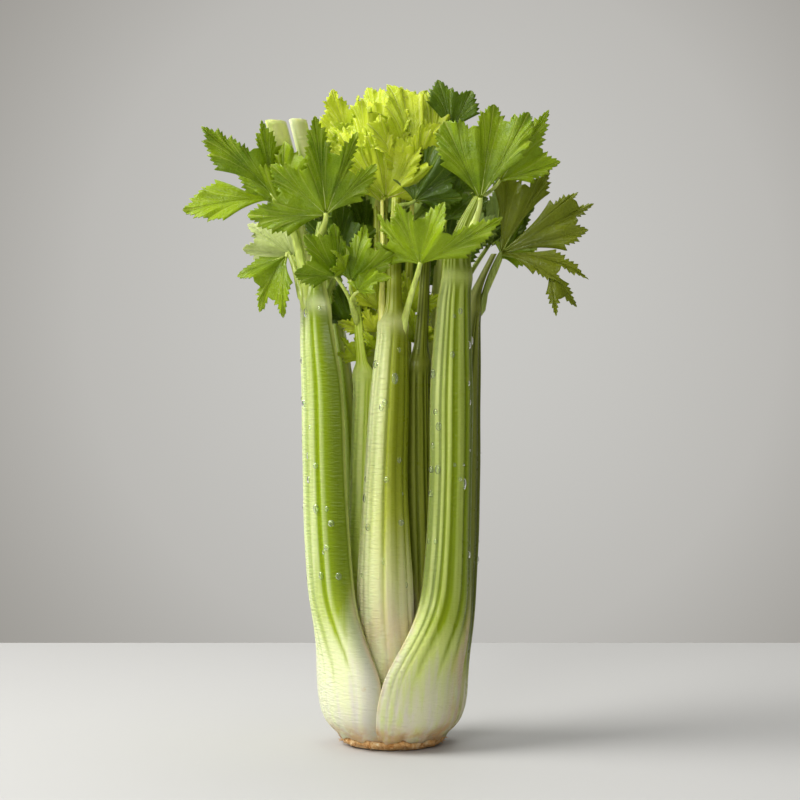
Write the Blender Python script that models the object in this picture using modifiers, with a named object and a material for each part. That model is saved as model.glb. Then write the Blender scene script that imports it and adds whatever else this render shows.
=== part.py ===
"""A head of celery that stands on its cut crown: ribbed stalks around a heart, with lobed leaves on top.

Metres, +Z up. The origin is the centre of the cut face under the crown. The front of the head faces -Y.
"""

import math

import bmesh
import bpy
from mathutils import Vector

MM = 0.001
CROWN_TOP = 7.0
BASE_Z = 7.4
CROWN_SEGMENTS = 40
BLADE_THICKNESS = 0.8

# Radius of the whole head at each height.
HEAD_RADIUS = ((0, 27), (7.4, 29.5), (16, 35.6), (25, 38.8), (37, 40.8), (52, 42.8), (70, 45),
    (95, 47.4), (130, 49))
# Wall of the outer shell of stalk bases, and of the shell inside it, at each height.
OUTER_WALL = ((0, 7.6), (16, 9), (25, 9.6), (37, 9.8), (60, 9.6), (100, 9))
INNER_WALL = ((0, 6.6), (16, 8), (37, 8.6), (60, 8), (100, 7))
SHELL_GAP = 0.6

# How far across the stalk each point of a section lies: along the outside, then back along the inside.
ACROSS_OUT = (-1, -0.82, -0.55, -0.28, 0, 0.28, 0.55, 0.82, 1)
ACROSS_IN = (0.9, 0.6, 0.3, 0, -0.3, -0.6, -0.9)

GREEN = (0.27, 0.42, 0.03)
PALE = (0.62, 0.68, 0.33)
INNER = (0.45, 0.56, 0.10)
LEAF = (0.16, 0.34, 0.02)
DARK_LEAF = (0.07, 0.19, 0.02)
YOUNG_LEAF = (0.46, 0.58, 0.07)
BROWN = (0.55, 0.30, 0.10)

# Outer and inner stalks. "seams" are the angles in degrees, at each height, of the two edges of the
# base that wraps the head. "keys" follow the stalk above its base: height, then x and y of the middle of
# its outside face, the way it faces, half its width, how far its edges curl in, and its wall.
STALKS = {
    "stalk_front_left": dict(
        layer=0, blend=(38, 92), color=GREEN,
        seams=((7, -182, -105.5), (30, -182, -101), (60, -181, -108), (90, -180, -117)),
        keys=(
            (40, -39, -23, -150, 22, 13, 9), (100, -45.5, -25.5, -150, 20.5, 14, 9),
            (150, -47.5, -26, -150, 19.5, 14.5, 9), (200, -48.5, -25.5, -150, 17, 12.5, 9),
            (238, -49.5, -24, -150, 13, 8, 9), (252, -49.5, -23.5, -150, 12.5, 7, 10.5),
            (260, -47.5, -23, -150, 9, 5, 8), (275, -45, -25, -150, 5.5, 3, 6),
            (290, -42, -29, -150, 3.4, 2, 4.5),
        ),
    ),
    "stalk_front_right": dict(
        layer=0, blend=(38, 92), color=GREEN,
        seams=((7, -104, -28), (30, -99.5, -28), (60, -88, -27), (90, -72, -24)),
        keys=(
            (40, 33, -28, -58, 21, 12, 9), (100, 36, -30.5, -58, 16.5, 12, 8.5),
            (150, 37.5, -31, -58, 14.5, 12, 8.5), (200, 38.5, -31, -58, 13.5, 11, 8.5),
            (245, 38.5, -31, -58, 11, 8, 9), (262, 38.5, -31.5, -60, 10, 6, 10),
            (274, 38, -32, -65, 7.5, 4, 7.5), (290, 42, -32, -70, 5.5, 3, 6),
            (303, 47, -31, -70, 3.2, 2, 4.2),
        ),
    ),
    "stalk_right": dict(
        layer=0, blend=(38, 92), color=GREEN,
        seams=((7, -26, 21), (60, -25, 21), (90, -16, 22)),
        keys=(
            (40, 45, 3, 4, 12.5, 9, 9), (100, 48, 7, 7, 14, 12, 8.5), (150, 49.4, 8, 8, 14, 12, 8.5),
            (200, 49.8, 8, 8, 12.5, 10, 8.5), (240, 49.6, 7.5, 8, 9, 5, 8), (252, 50, 7, 8, 7, 4, 7),
            (264, 54, 6.5, 4, 3.5, 2, 4.5), (274, 58.5, 6, 0, 2.6, 1.4, 3.6),
        ),
    ),
    "stalk_rear_right": dict(
        layer=0, blend=(38, 92), color=GREEN,
        seams=((7, 23, 72), (90, 25, 70)),
        keys=(
            (40, 27, 34, 52, 16, 9, 9), (100, 29, 40, 55, 15, 12, 8.5),
            (150, 30.5, 41.5, 55, 14.5, 12, 8.5),
            (200, 31.5, 42, 55, 13, 10, 8.5), (240, 32, 42, 52, 9.5, 6, 9),
            (252, 32.5, 41, 50, 8.5, 5, 9),
            (266, 35, 37, 45, 5.5, 3, 6), (290, 41, 30, 40, 4, 2.4, 5), (306, 47, 24, 40, 3.2, 2, 4.2),
        ),
    ),
    "stalk_rear": dict(
        layer=0, blend=(38, 92), color=GREEN,
        seams=((7, 74, 126), (90, 76, 124)),
        keys=(
            (40, -7, 42, 99, 16, 9, 9), (100, -8.5, 47.5, 99, 15, 12, 8.5),
            (150, -9, 49, 99, 14.5, 12, 8.5),
            (200, -9, 49.5, 99, 13, 10, 8.5), (235, -9.5, 49, 99, 10, 6, 9),
            (248, -9.5, 48, 99, 9, 5, 9.5),
            (262, -11, 44, 99, 6, 3, 6.5), (290, -15, 38, 99, 4, 2.4, 5), (316, -19, 30, 99, 3, 2, 4),
        ),
    ),
    "stalk_rear_left": dict(
        layer=0, blend=(38, 92), color=GREEN,
        seams=((7, 128, 175.5), (90, 127, 176)),
        keys=(
            (40, -35, 21, 149, 16, 9, 9), (100, -39.5, 25, 147, 14.5, 12, 8.5),
            (150, -41, 26.5, 145, 14, 12, 8.5),
            (200, -42.5, 26.5, 145, 12.5, 10, 8.5), (245, -46, 24, 150, 10, 6, 9),
            (290, -54.5, 17, 158, 8, 4, 8.5),
            (330, -64, 10, 165, 7, 3, 8.5), (352, -69.5, 7, 170, 6.8, 3, 8.6),
        ),
    ),
    "stalk_inner_front": dict(
        layer=1, blend=(34, 86), color=PALE,
        seams=((7, -126, -62), (90, -122, -66)),
        keys=(
            (40, -4, -30, -95, 15, 7, 8), (86, -4.5, -34.5, -95, 15.6, 8.5, 9),
            (120, -4, -35.5, -94, 15.6, 9, 9.5),
            (150, -3.6, -35, -93, 14.8, 9, 9.5), (200, -1, -33, -92, 12, 7.5, 9.5),
            (232, 0.6, -31, -90, 9.6, 5, 9),
            (241, 1, -30.5, -90, 9.2, 4, 10), (250, 1, -28.5, -90, 6, 2.6, 7),
            (275, 1, -26.5, -90, 4.4, 2, 5),
            (304, 2, -24, -90, 3.2, 1.6, 4),
        ),
    ),
    "stalk_inner_left": dict(
        layer=1, blend=(34, 86), color=INNER,
        seams=((7, -180, -128), (90, -176, -130)),
        keys=(
            (40, -20, -16, -140, 11, 6, 7), (90, -21.5, -16, -128, 9, 5, 7),
            (150, -21, -15.5, -122, 8.6, 5, 7),
            (195, -19.5, -15.5, -116, 7.8, 4.4, 7), (210, -18.5, -15.5, -112, 6.8, 3.6, 7),
            (220, -19, -15, -110, 4.2, 2, 5), (246, -20.5, -17, -110, 3, 1.6, 4.2),
        ),
    ),
    "stalk_inner_right": dict(
        layer=1, blend=(34, 86), color=INNER,
        seams=((7, -60, -12), (90, -58, -14)),
        keys=(
            (40, 21, -17, -42, 11, 6, 7), (90, 20, -17, -48, 9, 5, 7), (150, 18.4, -16.5, -52, 8.6, 5, 7),
            (200, 17.6, -16, -54, 7.6, 4.4, 7), (214, 17.4, -15.5, -56, 6.6, 3.6, 7),
            (226, 17.4, -14, -58, 4, 2, 5),
            (290, 20.5, -12, -60, 2.8, 1.4, 3.8),
        ),
    ),
    "stalk_inner_rear_left": dict(
        layer=1, blend=(34, 86), color=INNER,
        seams=((7, 112, 178), (90, 120, 174)),
        keys=(
            (40, -24, 8, 160, 12, 6, 7), (90, -28, 8.5, 172, 10, 6, 7), (150, -29, 9, 175, 9.6, 6, 7),
            (200, -31, 8, 175, 8.6, 5, 7), (250, -37.5, 5, 175, 7, 3.6, 6.6),
            (300, -46, -1, 175, 5.6, 2.8, 6.4),
            (351, -58, -6, 178, 5.2, 2.6, 6.6),
        ),
    ),
    "stalk_inner_rear": dict(
        layer=1, blend=(34, 86), color=INNER,
        seams=((7, 52, 110), (90, 58, 106)),
        keys=(
            (40, 3, 28, 82, 12, 6, 7), (90, 2.4, 31, 85, 10, 6, 7), (150, 2, 31, 85, 9.4, 6, 7),
            (200, 2, 30.5, 85, 8.4, 5, 7), (226, 2, 29, 85, 6.4, 3.4, 6.4), (240, 2, 27, 85, 4.2, 2.2, 5),
            (312, 5, 17, 85, 2.8, 1.6, 3.8),
        ),
    ),
    "stalk_inner_rear_right": dict(
        layer=1, blend=(34, 86), color=INNER,
        seams=((7, -10, 50), (90, -2, 52)),
        keys=(
            (40, 26, 10, 22, 12, 6, 7), (90, 26, 13, 26, 10, 6, 7), (150, 25.6, 14, 28, 9, 6, 7),
            (200, 25.4, 14, 28, 8, 5, 7), (222, 25.6, 13.5, 28, 6.2, 3.4, 6.4),
            (236, 26, 12.5, 28, 4.2, 2.2, 5),
            (300, 31, 9, 28, 2.8, 1.6, 3.8),
        ),
    ),
}

# Thin stalks of the heart: the edges of the base in degrees, then height, x, y and half the thickness.
HEART = {
    "heart_front": (-150, -34, ((60, -4, -8, 5), (110, -5.5, -5, 4.6), (200, -6, -5, 3.8),
                                (300, -9, -2, 2.2))),
    "heart_right": (-27, 86, ((60, 7, 1, 5), (110, 6.5, -1, 4.6), (200, 7, -2, 3.6), (290, 10, -2, 2.2))),
    "heart_rear": (93, 203, ((60, -3, 7.5, 5), (110, -3.5, 8, 4.6), (200, -3.5, 8, 3.6), (305, -5, 9, 2.2))),
}

# Leaves: where the petiole starts, the foot of the blade, the tip of its middle lobe, the way the upper side
# faces, the lobes as angle from the middle, length over the middle length and half angle, the arch, the
# cup, the petiole's radius, and how deep the notches are cut.
LEAVES = {
    "leaf_front_left": dict(
        start=(-40.4, -29, 292.6), base=(-36, -38, 297), tip=(-44, -52, 346),
        face=(0, -1, 0.4), color=LEAF,
        lobes=((-60, 0.9, 28), (0, 1.06, 28), (50, 0.72, 26)), arch=-0.06, cup=0.18,
        petiole=1.9, notch=0.66),
    "leaf_left": dict(
        start=(-53, -14.5, 254), base=(-65, -12, 303), tip=(-103, -24, 345),
        face=(0.1, -1, 0.3), color=LEAF,
        lobes=((-50, 0.9, 22), (0, 1, 22), (27, 0.82, 14)), arch=0.05, cup=0.1, petiole=1.8, notch=0.3),
    "leaf_left_low": dict(
        start=(-55.4, -18.2, 262), base=(-60, -19, 276), tip=(-74, -30, 247),
        face=(-0.35, -1, 0.3), color=LEAF,
        lobes=((-34, 1, 26), (0, 0.9, 24), (52, 0.8, 28)), arch=0.12, cup=0.14, petiole=1.2, notch=0.7),
    "leaf_left_inner": dict(
        start=(-32.5, -17.5, 257), base=(-30, -13.5, 277), tip=(-27, -14, 306), face=(0.2, -1, 0.4),
        color=DARK_LEAF, lobes=((-44, 0.8, 24), (0, 1, 24), (44, 0.7, 24)), arch=0.05, cup=0.1, petiole=1.4,
        notch=0.62),
    "leaf_inner_left_a": dict(
        start=(-24.4, -22, 248), base=(-31, -41, 262), tip=(-48, -52, 280),
        face=(0.1, -1, 0.5), color=LEAF,
        lobes=((-44, 0.86, 26), (0, 1, 24), (48, 0.8, 26)), arch=0.1, cup=0.16, petiole=1.2, notch=0.64),
    "leaf_inner_left_b": dict(
        start=(-20.4, -23.4, 248.5), base=(-23, -32, 262), tip=(-22, -31, 287),
        face=(0.1, -1, 0.3), color=LEAF,
        lobes=((-40, 0.84, 24), (0, 1, 24), (40, 0.84, 24)), arch=0.08, cup=0.14,
        petiole=1.2, notch=0.62),
    "leaf_inner_left_c": dict(
        start=(-16.6, -22.6, 248), base=(-14.5, -37, 257), tip=(-3, -47, 267),
        face=(-0.1, -1, 0.5), color=LEAF,
        lobes=((-48, 0.8, 26), (0, 1, 24), (44, 0.95, 26)), arch=0.1, cup=0.12, petiole=1.1, notch=0.64),
    "leaf_front": dict(
        start=(9.4, -29, 246.5), base=(15.4, -41, 268), tip=(24, -58, 299), face=(0, -1, 0.6), color=LEAF,
        lobes=((-75, 0.83, 20), (-40, 1.03, 18), (0, 1, 20), (42, 1.5, 18)), arch=0.06, cup=0.1,
        petiole=2,
        notch=0.68),
    "leaf_front_upper": dict(
        start=(2.2, -22.8, 305), base=(14, -20, 309), tip=(33, -18, 330),
        face=(0.1, -1, 0.4), color=DARK_LEAF,
        lobes=((-50, 0.8, 26), (0, 1, 26), (48, 0.8, 26)), arch=0.06, cup=0.1, petiole=1.3, notch=0.64),
    "leaf_front_right": dict(
        start=(47.3, -29.2, 304), base=(48.5, -30, 308), tip=(54, -38, 356),
        face=(0, -1, 0.22), color=LEAF,
        lobes=((-31, 0.94, 18), (-6, 1.08, 16), (24, 1.05, 20)), arch=0.03, cup=0.16,
        petiole=1.7, notch=0.84),
    "leaf_right_upper": dict(
        start=(46.6, 19, 307), base=(62, -2, 321), tip=(86, -14, 353), face=(0.2, -1, 0.3), color=LEAF,
        lobes=((-34, 0.7, 22), (0, 1, 22), (40, 0.72, 24)), arch=0.05, cup=0.1, petiole=1.3, notch=0.66),
    "leaf_right": dict(
        start=(57, 6, 275), base=(61, 6, 279), tip=(111, -3, 308), face=(0.1, -1, 0.25), color=DARK_LEAF,
        lobes=((-29, 0.95, 18), (0, 1, 16), (44, 0.94, 18), (75, 0.9, 11)), arch=0.03, cup=0.06,
        petiole=1.5,
        notch=0.42),
    "leaf_top_right": dict(
        start=(43.6, 25.6, 307), base=(33.5, 20, 350), tip=(28, 24, 376),
        face=(0.4, -1, 0.2), color=DARK_LEAF,
        lobes=((-46, 0.66, 28), (0, 1, 26), (50, 1, 24)), arch=0.03, cup=0.08, petiole=1.3, notch=0.7),
    "leaf_top_left": dict(
        start=(-19.4, 27, 317), base=(-22, 14, 338), tip=(-33, 14, 372),
        face=(-0.6, -1, 0.2), color=YOUNG_LEAF,
        lobes=((-46, 0.8, 26), (0, 1, 24), (42, 0.7, 26)), arch=0.04, cup=0.12, petiole=1.3, notch=0.66),
    "leaf_heart_a": dict(
        start=(-9, -2, 301), base=(-9, -3, 322), tip=(-15, 0, 366), face=(-0.9, -1, 0), color=YOUNG_LEAF,
        lobes=((-36, 0.6, 20), (0, 1, 22), (38, 0.7, 22)), arch=0.08, cup=0.2, petiole=1.5, notch=0.66),
    "leaf_heart_b": dict(
        start=(-5, 9.4, 306), base=(-2, 8, 322), tip=(3, 9, 377), face=(0, -1, 0), color=YOUNG_LEAF,
        lobes=((-30, 0.6, 18), (0, 1, 22), (30, 0.6, 18)), arch=0.05, cup=0.14, petiole=1.5, notch=0.7),
    "leaf_heart_c": dict(
        start=(10, -2, 291), base=(12, -6, 322), tip=(18, -5, 374), face=(0.9, -1, 0), color=YOUNG_LEAF,
        lobes=((-34, 0.66, 22), (0, 1, 22), (38, 0.7, 22)), arch=0.06, cup=0.2, petiole=1.5, notch=0.68),
    "leaf_heart_d": dict(
        start=(-1.2, -23, 305), base=(-6, -17, 308), tip=(-7, -14, 352),
        face=(-0.1, -1, 0.1), color=YOUNG_LEAF,
        lobes=((-44, 0.66, 24), (0, 1, 22), (34, 0.46, 18)), arch=0.08, cup=0.16,
        petiole=1.2, notch=0.66),
    "leaf_heart_e": dict(
        start=(5.2, 15.2, 313), base=(19, 15, 322), tip=(24, 16, 354),
        face=(1, -0.8, 0), color=YOUNG_LEAF,
        lobes=((-32, 0.5, 18), (0, 1, 20), (34, 0.6, 18)), arch=0.05, cup=0.14, petiole=1.2, notch=0.66),
    "leaf_heart_low": dict(
        start=(-9, -14, 228), base=(-8, -17, 246), tip=(-9, -19, 268), face=(0, -1, 0), color=YOUNG_LEAF,
        lobes=((-40, 0.8, 24), (0, 1, 24), (40, 0.8, 24)), arch=0.1, cup=0.2, petiole=0.9, notch=0.6),
    "leaf_inner_right": dict(
        start=(20.4, -9.8, 291), base=(27, -11, 296), tip=(36, -13, 318),
        face=(0.2, -1, 0.4), color=DARK_LEAF,
        lobes=((-50, 0.8, 26), (0, 1, 26), (44, 1.1, 24)), arch=0.06, cup=0.1, petiole=1.2, notch=0.62),
    "leaf_inner_rear_right": dict(
        start=(30, 8, 301.5), base=(34, 7, 312), tip=(44, 4, 344), face=(0.8, -1, 0.2), color=LEAF,
        lobes=((-40, 0.8, 24), (0, 1, 24), (40, 0.8, 24)), arch=0.05, cup=0.12, petiole=1.2, notch=0.66),
    "leaf_rear_a": dict(
        start=(-9.5, 50, 254), base=(-8, 60, 290), tip=(-14, 79, 338), face=(0, 1, 0.4), color=LEAF,
        lobes=((-50, 0.74, 28), (0, 1, 26), (50, 0.6, 24)), arch=0.06, cup=0.16, petiole=1.8, notch=0.66),
    "leaf_rear_b": dict(
        start=(-23, 47, 250), base=(-38, 53, 284), tip=(-62, 72, 312), face=(-0.5, 1, 0.4), color=LEAF,
        lobes=((-44, 0.86, 26), (0, 1, 24), (46, 0.8, 26)), arch=0.06, cup=0.12, petiole=1.6, notch=0.6),
    "leaf_rear_c": dict(
        start=(30, 45, 257), base=(29, 50, 290), tip=(38, 64, 334), face=(0.3, 1, 0.25), color=LEAF,
        lobes=((-48, 0.84, 26), (0, 1, 26), (44, 0.5, 20)), arch=0.06, cup=0.14, petiole=1.7, notch=0.64),
    "leaf_rear_d": dict(
        start=(43, 37, 256), base=(57, 43, 286), tip=(74, 66, 312), face=(0.5, 1, 0.4), color=DARK_LEAF,
        lobes=((-44, 0.6, 24), (0, 1, 24), (46, 0.6, 22)), arch=0.06, cup=0.12, petiole=1.5, notch=0.6),
    "leaf_left_back": dict(
        start=(-52.5, 14, 262), base=(-58, 14, 278), tip=(-84, 18, 296), face=(-0.3, -1, 0.4), color=PALE,
        lobes=((-40, 0.8, 26), (0, 1, 24), (44, 0.8, 26)), arch=0.06, cup=0.12, petiole=1.4, notch=0.62),
    "leaf_side_right": dict(
        start=(56, 13.5, 258), base=(63, 22, 278), tip=(73, 31, 309), face=(1, -0.3, 0.3), color=LEAF,
        lobes=((-44, 0.8, 26), (0, 1, 24), (44, 0.8, 26)), arch=0.06, cup=0.14, petiole=1.5, notch=0.64),
    "leaf_heart_f": dict(
        start=(-8, 13, 306), base=(-8, 24, 318), tip=(-11, 33, 356),
        face=(-0.4, 1, 0.1), color=YOUNG_LEAF,
        lobes=((-38, 0.7, 22), (0, 1, 22), (38, 0.7, 22)), arch=0.06, cup=0.16, petiole=1.2, notch=0.66),
    "leaf_rear_low": dict(
        start=(4, 48, 249), base=(10, 57, 262), tip=(12, 74, 246), face=(0.1, 0.8, 0.7), color=LEAF,
        lobes=((-48, 0.86, 26), (0, 1, 26), (48, 0.86, 26)), arch=0.12, cup=0.12,
        petiole=1.2, notch=0.62),
}


def along(keys, z):
    """The values that a table gives at this height, on a smooth curve through its rows."""
    rows = [tuple(float(n) for n in row) for row in keys]
    if z <= rows[0][0]:
        return rows[0][1:]
    if z >= rows[-1][0]:
        return rows[-1][1:]
    i = max(k for k in range(len(rows) - 1) if rows[k][0] <= z)
    a, b = rows[i], rows[i + 1]
    before, after = rows[max(i - 1, 0)], rows[min(i + 2, len(rows) - 1)]
    step = b[0] - a[0]
    t = (z - a[0]) / step
    found = []
    for k in range(1, len(a)):
        m0 = (b[k] - before[k]) / (b[0] - before[0]) * step
        m1 = (after[k] - a[k]) / (after[0] - a[0]) * step
        found.append(
            (2 * t**3 - 3 * t**2 + 1) * a[k] + (t**3 - 2 * t**2 + t) * m0
            + (3 * t**2 - 2 * t**3) * b[k] + (t**3 - t**2) * m1
        )
    return tuple(found)


def ease(low, high, x):
    t = min(max((x - low) / (high - low), 0), 1)
    return t * t * (3 - 2 * t)


def shell_point(spec, z, t, inside):
    """A point of the base, which wraps the head as one piece of a shell."""
    outer = along(HEAD_RADIUS, z)[0]
    wall = along(OUTER_WALL, z)[0]
    if spec["layer"]:
        outer -= wall + SHELL_GAP
        wall = along(INNER_WALL, z)[0]
    first, last = along(spec["seams"], z)
    angle = math.radians(first + (last - first) * (t + 1) / 2)
    radius = outer - 0.22 * wall * abs(t) ** 5
    if inside:
        radius = outer - wall * (1 - 0.3 * abs(t) ** 3)
    return Vector((radius * math.cos(angle), radius * math.sin(angle), z))


def rib_point(spec, z, t, inside):
    """A point of the free stalk, whose section is a crescent that opens inwards."""
    x, y, facing, half, curl, wall = along(spec["keys"], z)
    out = Vector((math.cos(math.radians(facing)), math.sin(math.radians(facing)), 0))
    across = Vector((-out.y, out.x, 0))
    depth = -curl * abs(t) ** 2.2
    if inside:
        depth -= wall * math.sqrt(1 - t * t)
    return Vector((x, y, z)) + out * depth + across * (half * t)


def stalk_point(spec, z, t, inside):
    free = ease(*spec["blend"], z)
    return shell_point(spec, z, t, inside).lerp(rib_point(spec, z, t, inside), free)


def loft(name, loops, color, closing=None):
    """One closed body through the loops, which all have the same number of points."""
    mesh = bpy.data.meshes.new(name)
    build = bmesh.new()
    rings = [[build.verts.new(point * MM) for point in loop] for loop in loops]
    count = len(rings[0])
    for low, high in zip(rings, rings[1:]):
        for i in range(count):
            j = (i + 1) % count
            build.faces.new((low[i], low[j], high[j], high[i]))
    if closing == "seam":
        half = count // 2
        caps = [rings[0][::-1]]
        last = rings[-1]
        for i in range(half - 1):
            build.faces.new((last[i], last[i + 1], last[count - 2 - i], last[count - 1 - i]))
    else:
        caps = [rings[0][::-1], rings[-1]]
    for cap in caps:
        build.faces.new(cap)
    bmesh.ops.recalc_face_normals(build, faces=build.faces)
    bmesh.ops.triangulate(build, faces=build.faces, quad_method="SHORT_EDGE", ngon_method="EAR_CLIP")
    build.to_mesh(mesh)
    build.free()
    return add(name, mesh, color)


def add(name, mesh, color):
    obj = bpy.data.objects.new(name, mesh)
    parts.objects.link(obj)
    material = bpy.data.materials.new(name + "_surface")
    material.use_nodes = True
    shader = material.node_tree.nodes["Principled BSDF"]
    shader.inputs["Base Color"].default_value = (*color, 1)
    shader.inputs["Roughness"].default_value = 0.45
    mesh.materials.append(material)
    return obj


def stalk(name, spec):
    top = spec["keys"][-1][0]
    heights = [BASE_Z, 15, 25, 40, 58, 78, 100, 150]
    heights += [row[0] for row in spec["keys"] if row[0] > 160]
    loops = []
    for z in heights:
        z = min(z, top)
        loop = [stalk_point(spec, z, t, False) for t in ACROSS_OUT]
        loop += [stalk_point(spec, z, t, True) for t in ACROSS_IN]
        loops.append(loop)
    return loft(name, loops, spec["color"])


def heart_stalk(name, first, last, keys):
    """A thin stalk of the heart: a sector of the middle of the base that becomes a round stem."""
    points = 10
    middle = math.radians((first + last) / 2)
    loops = []
    for z in (BASE_Z, 20, 34, 60, 110, 200, keys[-1][0]):
        free = ease(20, 60, z)
        x, y, radius = along(keys, z)
        core = along(HEAD_RADIUS, z)[0] - along(OUTER_WALL, z)[0] - along(INNER_WALL, z)[0] - 2 * SHELL_GAP
        loop = []
        for k in range(points):
            outside = k <= points / 2
            share = k / 5 if outside else (points - k) / 5
            angle = math.radians(first + (last - first) * share)
            reach = core * (0.94 if outside else 0.3)
            sector = Vector((reach * math.cos(angle), reach * math.sin(angle), z))
            turn = middle - math.pi / 2 + 2 * math.pi * k / points
            stem = Vector((x + radius * math.cos(turn), y + radius * math.sin(turn), z))
            loop.append(sector.lerp(stem, free))
        loops.append(loop)
    return loft(name, loops, INNER)


def crown():
    """The cut root disc that the head stands on: a profile turned about the axis."""
    profile = ((0, CROWN_TOP), (26.6, CROWN_TOP), (28, 5.8), (28.2, 4), (27.6, 2), (26.6, 0.6), (25, 0), (0, 0))
    mesh = bpy.data.meshes.new("root_crown")
    points = [Vector((x, 0, z)) * MM for x, z in profile]
    mesh.from_pydata(points, [(i, i + 1) for i in range(len(points) - 1)], [])
    obj = add("root_crown", mesh, BROWN)
    turned = obj.modifiers.new("turned", "SCREW")
    turned.steps = CROWN_SEGMENTS
    turned.render_steps = CROWN_SEGMENTS
    turned.use_merge_vertices = True
    turned.merge_threshold = 0.00001
    return obj


def leaf(name, spec):
    """A petiole that flattens into a lobed blade, as one closed body."""
    start, base, tip = (Vector(spec[key]) for key in ("start", "base", "tip"))
    axis = (tip - base).normalized()
    length = (tip - base).length
    face = Vector(spec["face"])
    normal = (face - axis * face.dot(axis)).normalized()
    side = axis.cross(normal)
    lobes = spec["lobes"]
    rays = []
    for k, (angle, reach, half) in enumerate(lobes):
        if k:
            before = lobes[k - 1]
            middle = (before[0] + before[2] + angle - half) / 2
            rays.append((middle, spec["notch"] * min(before[1], reach)))
        rays += [(angle - 0.62 * half, 0.84 * reach), (angle, reach), (angle + 0.62 * half, 0.84 * reach)]

    def blade(angle, reach, share):
        turn = math.radians(angle)
        r = reach * share * length
        ahead, aside = r * math.cos(turn), r * math.sin(turn)
        q = min(max(ahead / length, 0), 1)
        lift = spec["arch"] * 4 * q * (1 - q) * length - spec["cup"] * aside * aside / length
        return base + axis * ahead + side * aside + normal * lift

    loops = []
    foot = base - axis * 1.5
    pull = (foot - start).length * 0.4
    handles = (start, start + (Vector((0, 0, 1)) * 0.6 + (foot - start).normalized()).normalized() * pull,
               foot - axis * pull, foot)
    count = 2 * len(rays)
    for t in (0, 0.5, 1):
        centre = (handles[0] * (1 - t) ** 3 + handles[1] * 3 * t * (1 - t) ** 2
                  + handles[2] * 3 * t * t * (1 - t) + handles[3] * t**3)
        travel = ((handles[1] - handles[0]) * (1 - t) ** 2 + (handles[2] - handles[1]) * 2 * t * (1 - t)
                  + (handles[3] - handles[2]) * t * t).normalized()
        up = (normal - travel * normal.dot(travel)).normalized()
        aside = travel.cross(up)
        wide = spec["petiole"] * (1 - 0.3 * t)
        loop = []
        for k in range(count):
            turn = math.pi * (k + 0.5) / (count / 2)
            loop.append(centre - aside * wide * math.cos(turn) + up * wide * math.sin(turn))
        loops.append(loop)
    for share in (0.48, 1):
        upper = [blade(angle, reach, share) + normal * BLADE_THICKNESS / 2 for angle, reach in rays]
        lower = [blade(angle, reach, share) - normal * BLADE_THICKNESS / 2 for angle, reach in rays]
        loops.append(upper + lower[::-1])
    return loft(name, loops, spec["color"], "seam")


for old in list(bpy.data.objects):
    bpy.data.objects.remove(old, do_unlink=True)
parts = bpy.data.collections.new("celery_head")
bpy.context.scene.collection.children.link(parts)

crown()
for stalk_name, stalk_spec in STALKS.items():
    stalk(stalk_name, stalk_spec)
for heart_name, heart_spec in HEART.items():
    heart_stalk(heart_name, *heart_spec)
for leaf_name, leaf_spec in LEAVES.items():
    leaf(leaf_name, leaf_spec)
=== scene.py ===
import math

import bpy
import numpy as np
from mathutils import Matrix, Vector


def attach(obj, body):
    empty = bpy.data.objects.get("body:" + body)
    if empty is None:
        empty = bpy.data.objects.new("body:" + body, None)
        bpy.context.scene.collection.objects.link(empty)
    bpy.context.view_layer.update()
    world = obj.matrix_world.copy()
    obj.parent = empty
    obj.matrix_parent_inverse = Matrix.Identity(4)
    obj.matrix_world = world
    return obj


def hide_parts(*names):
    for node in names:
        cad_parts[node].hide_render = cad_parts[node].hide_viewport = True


MM = 0.001
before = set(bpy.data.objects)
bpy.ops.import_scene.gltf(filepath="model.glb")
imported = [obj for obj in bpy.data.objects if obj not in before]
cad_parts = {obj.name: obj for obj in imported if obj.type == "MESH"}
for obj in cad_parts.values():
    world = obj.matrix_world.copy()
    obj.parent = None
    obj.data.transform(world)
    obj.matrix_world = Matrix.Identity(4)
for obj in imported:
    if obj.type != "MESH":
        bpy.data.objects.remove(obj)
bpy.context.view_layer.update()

# ---------------------------------------------------------------- driving dimensions, in millimetres

# Radius of the whole head, and the walls of its outer and inner shells of stalk bases, at each height.
HEAD_RADIUS = (
    (0, 28.6), (7.4, 31.2), (11, 35.4), (16, 38.8), (25, 41.4), (37, 42.6), (52, 43.6), (70, 45.2),
    (95, 47.4), (130, 49),
)
OUTER_WALL = ((0, 7.6), (16, 9), (25, 9.6), (37, 9.8), (60, 9.6), (100, 9))
INNER_WALL = ((0, 6.6), (16, 8), (37, 8.6), (60, 8), (100, 7))
SHELL_GAP = 0.6
# The heights between which the stalks of the outer and the inner layer turn from shell to free stalk.
FREE_FROM = ((38, 92), (34, 86))
BASE_Z = 5.5
RING_STEP = 2.6
OUT_POINTS = 73
IN_POINTS = 25
# The height at which the points of a stalk's outside lie at even distances.
EVEN_Z = 150.0
# How near the inside of a section comes to the edges, which are at -1 and 1.
INNER_REACH = 0.97
LEAST_WALL = 0.9
# How deep the ribs are at the foot, what they gain on the way up, and between which heights.
RIB_DEPTH = 0.22
RIB_DEPTH_GAIN = 0.62
RIB_GAIN_HEIGHTS = (20, 100)
FINE_RIB_SHARE = 0.10
# Ribs and lumps are full on a stalk of this half width, and smaller on a slimmer one.
FULL_HALF_WIDTH = 12
LUMP_SIZE = 0.4
COLLAR_RISE = 0.8
COLLAR_WIDTH = 4.6
# The lower rim of the bases is uneven, up to these heights.
RIM_SAG = 1.2
RIM_HEIGHTS = (6, 13)
# The edges of the bases are tan low down, and all of the rim is near the crown.
TAN_HEIGHTS = (50, 105)
RIM_TAN_HEIGHTS = (8, 18)
# How far below its cut a cut stalk starts to bleach.
BLEACH_LENGTH = 40
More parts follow.
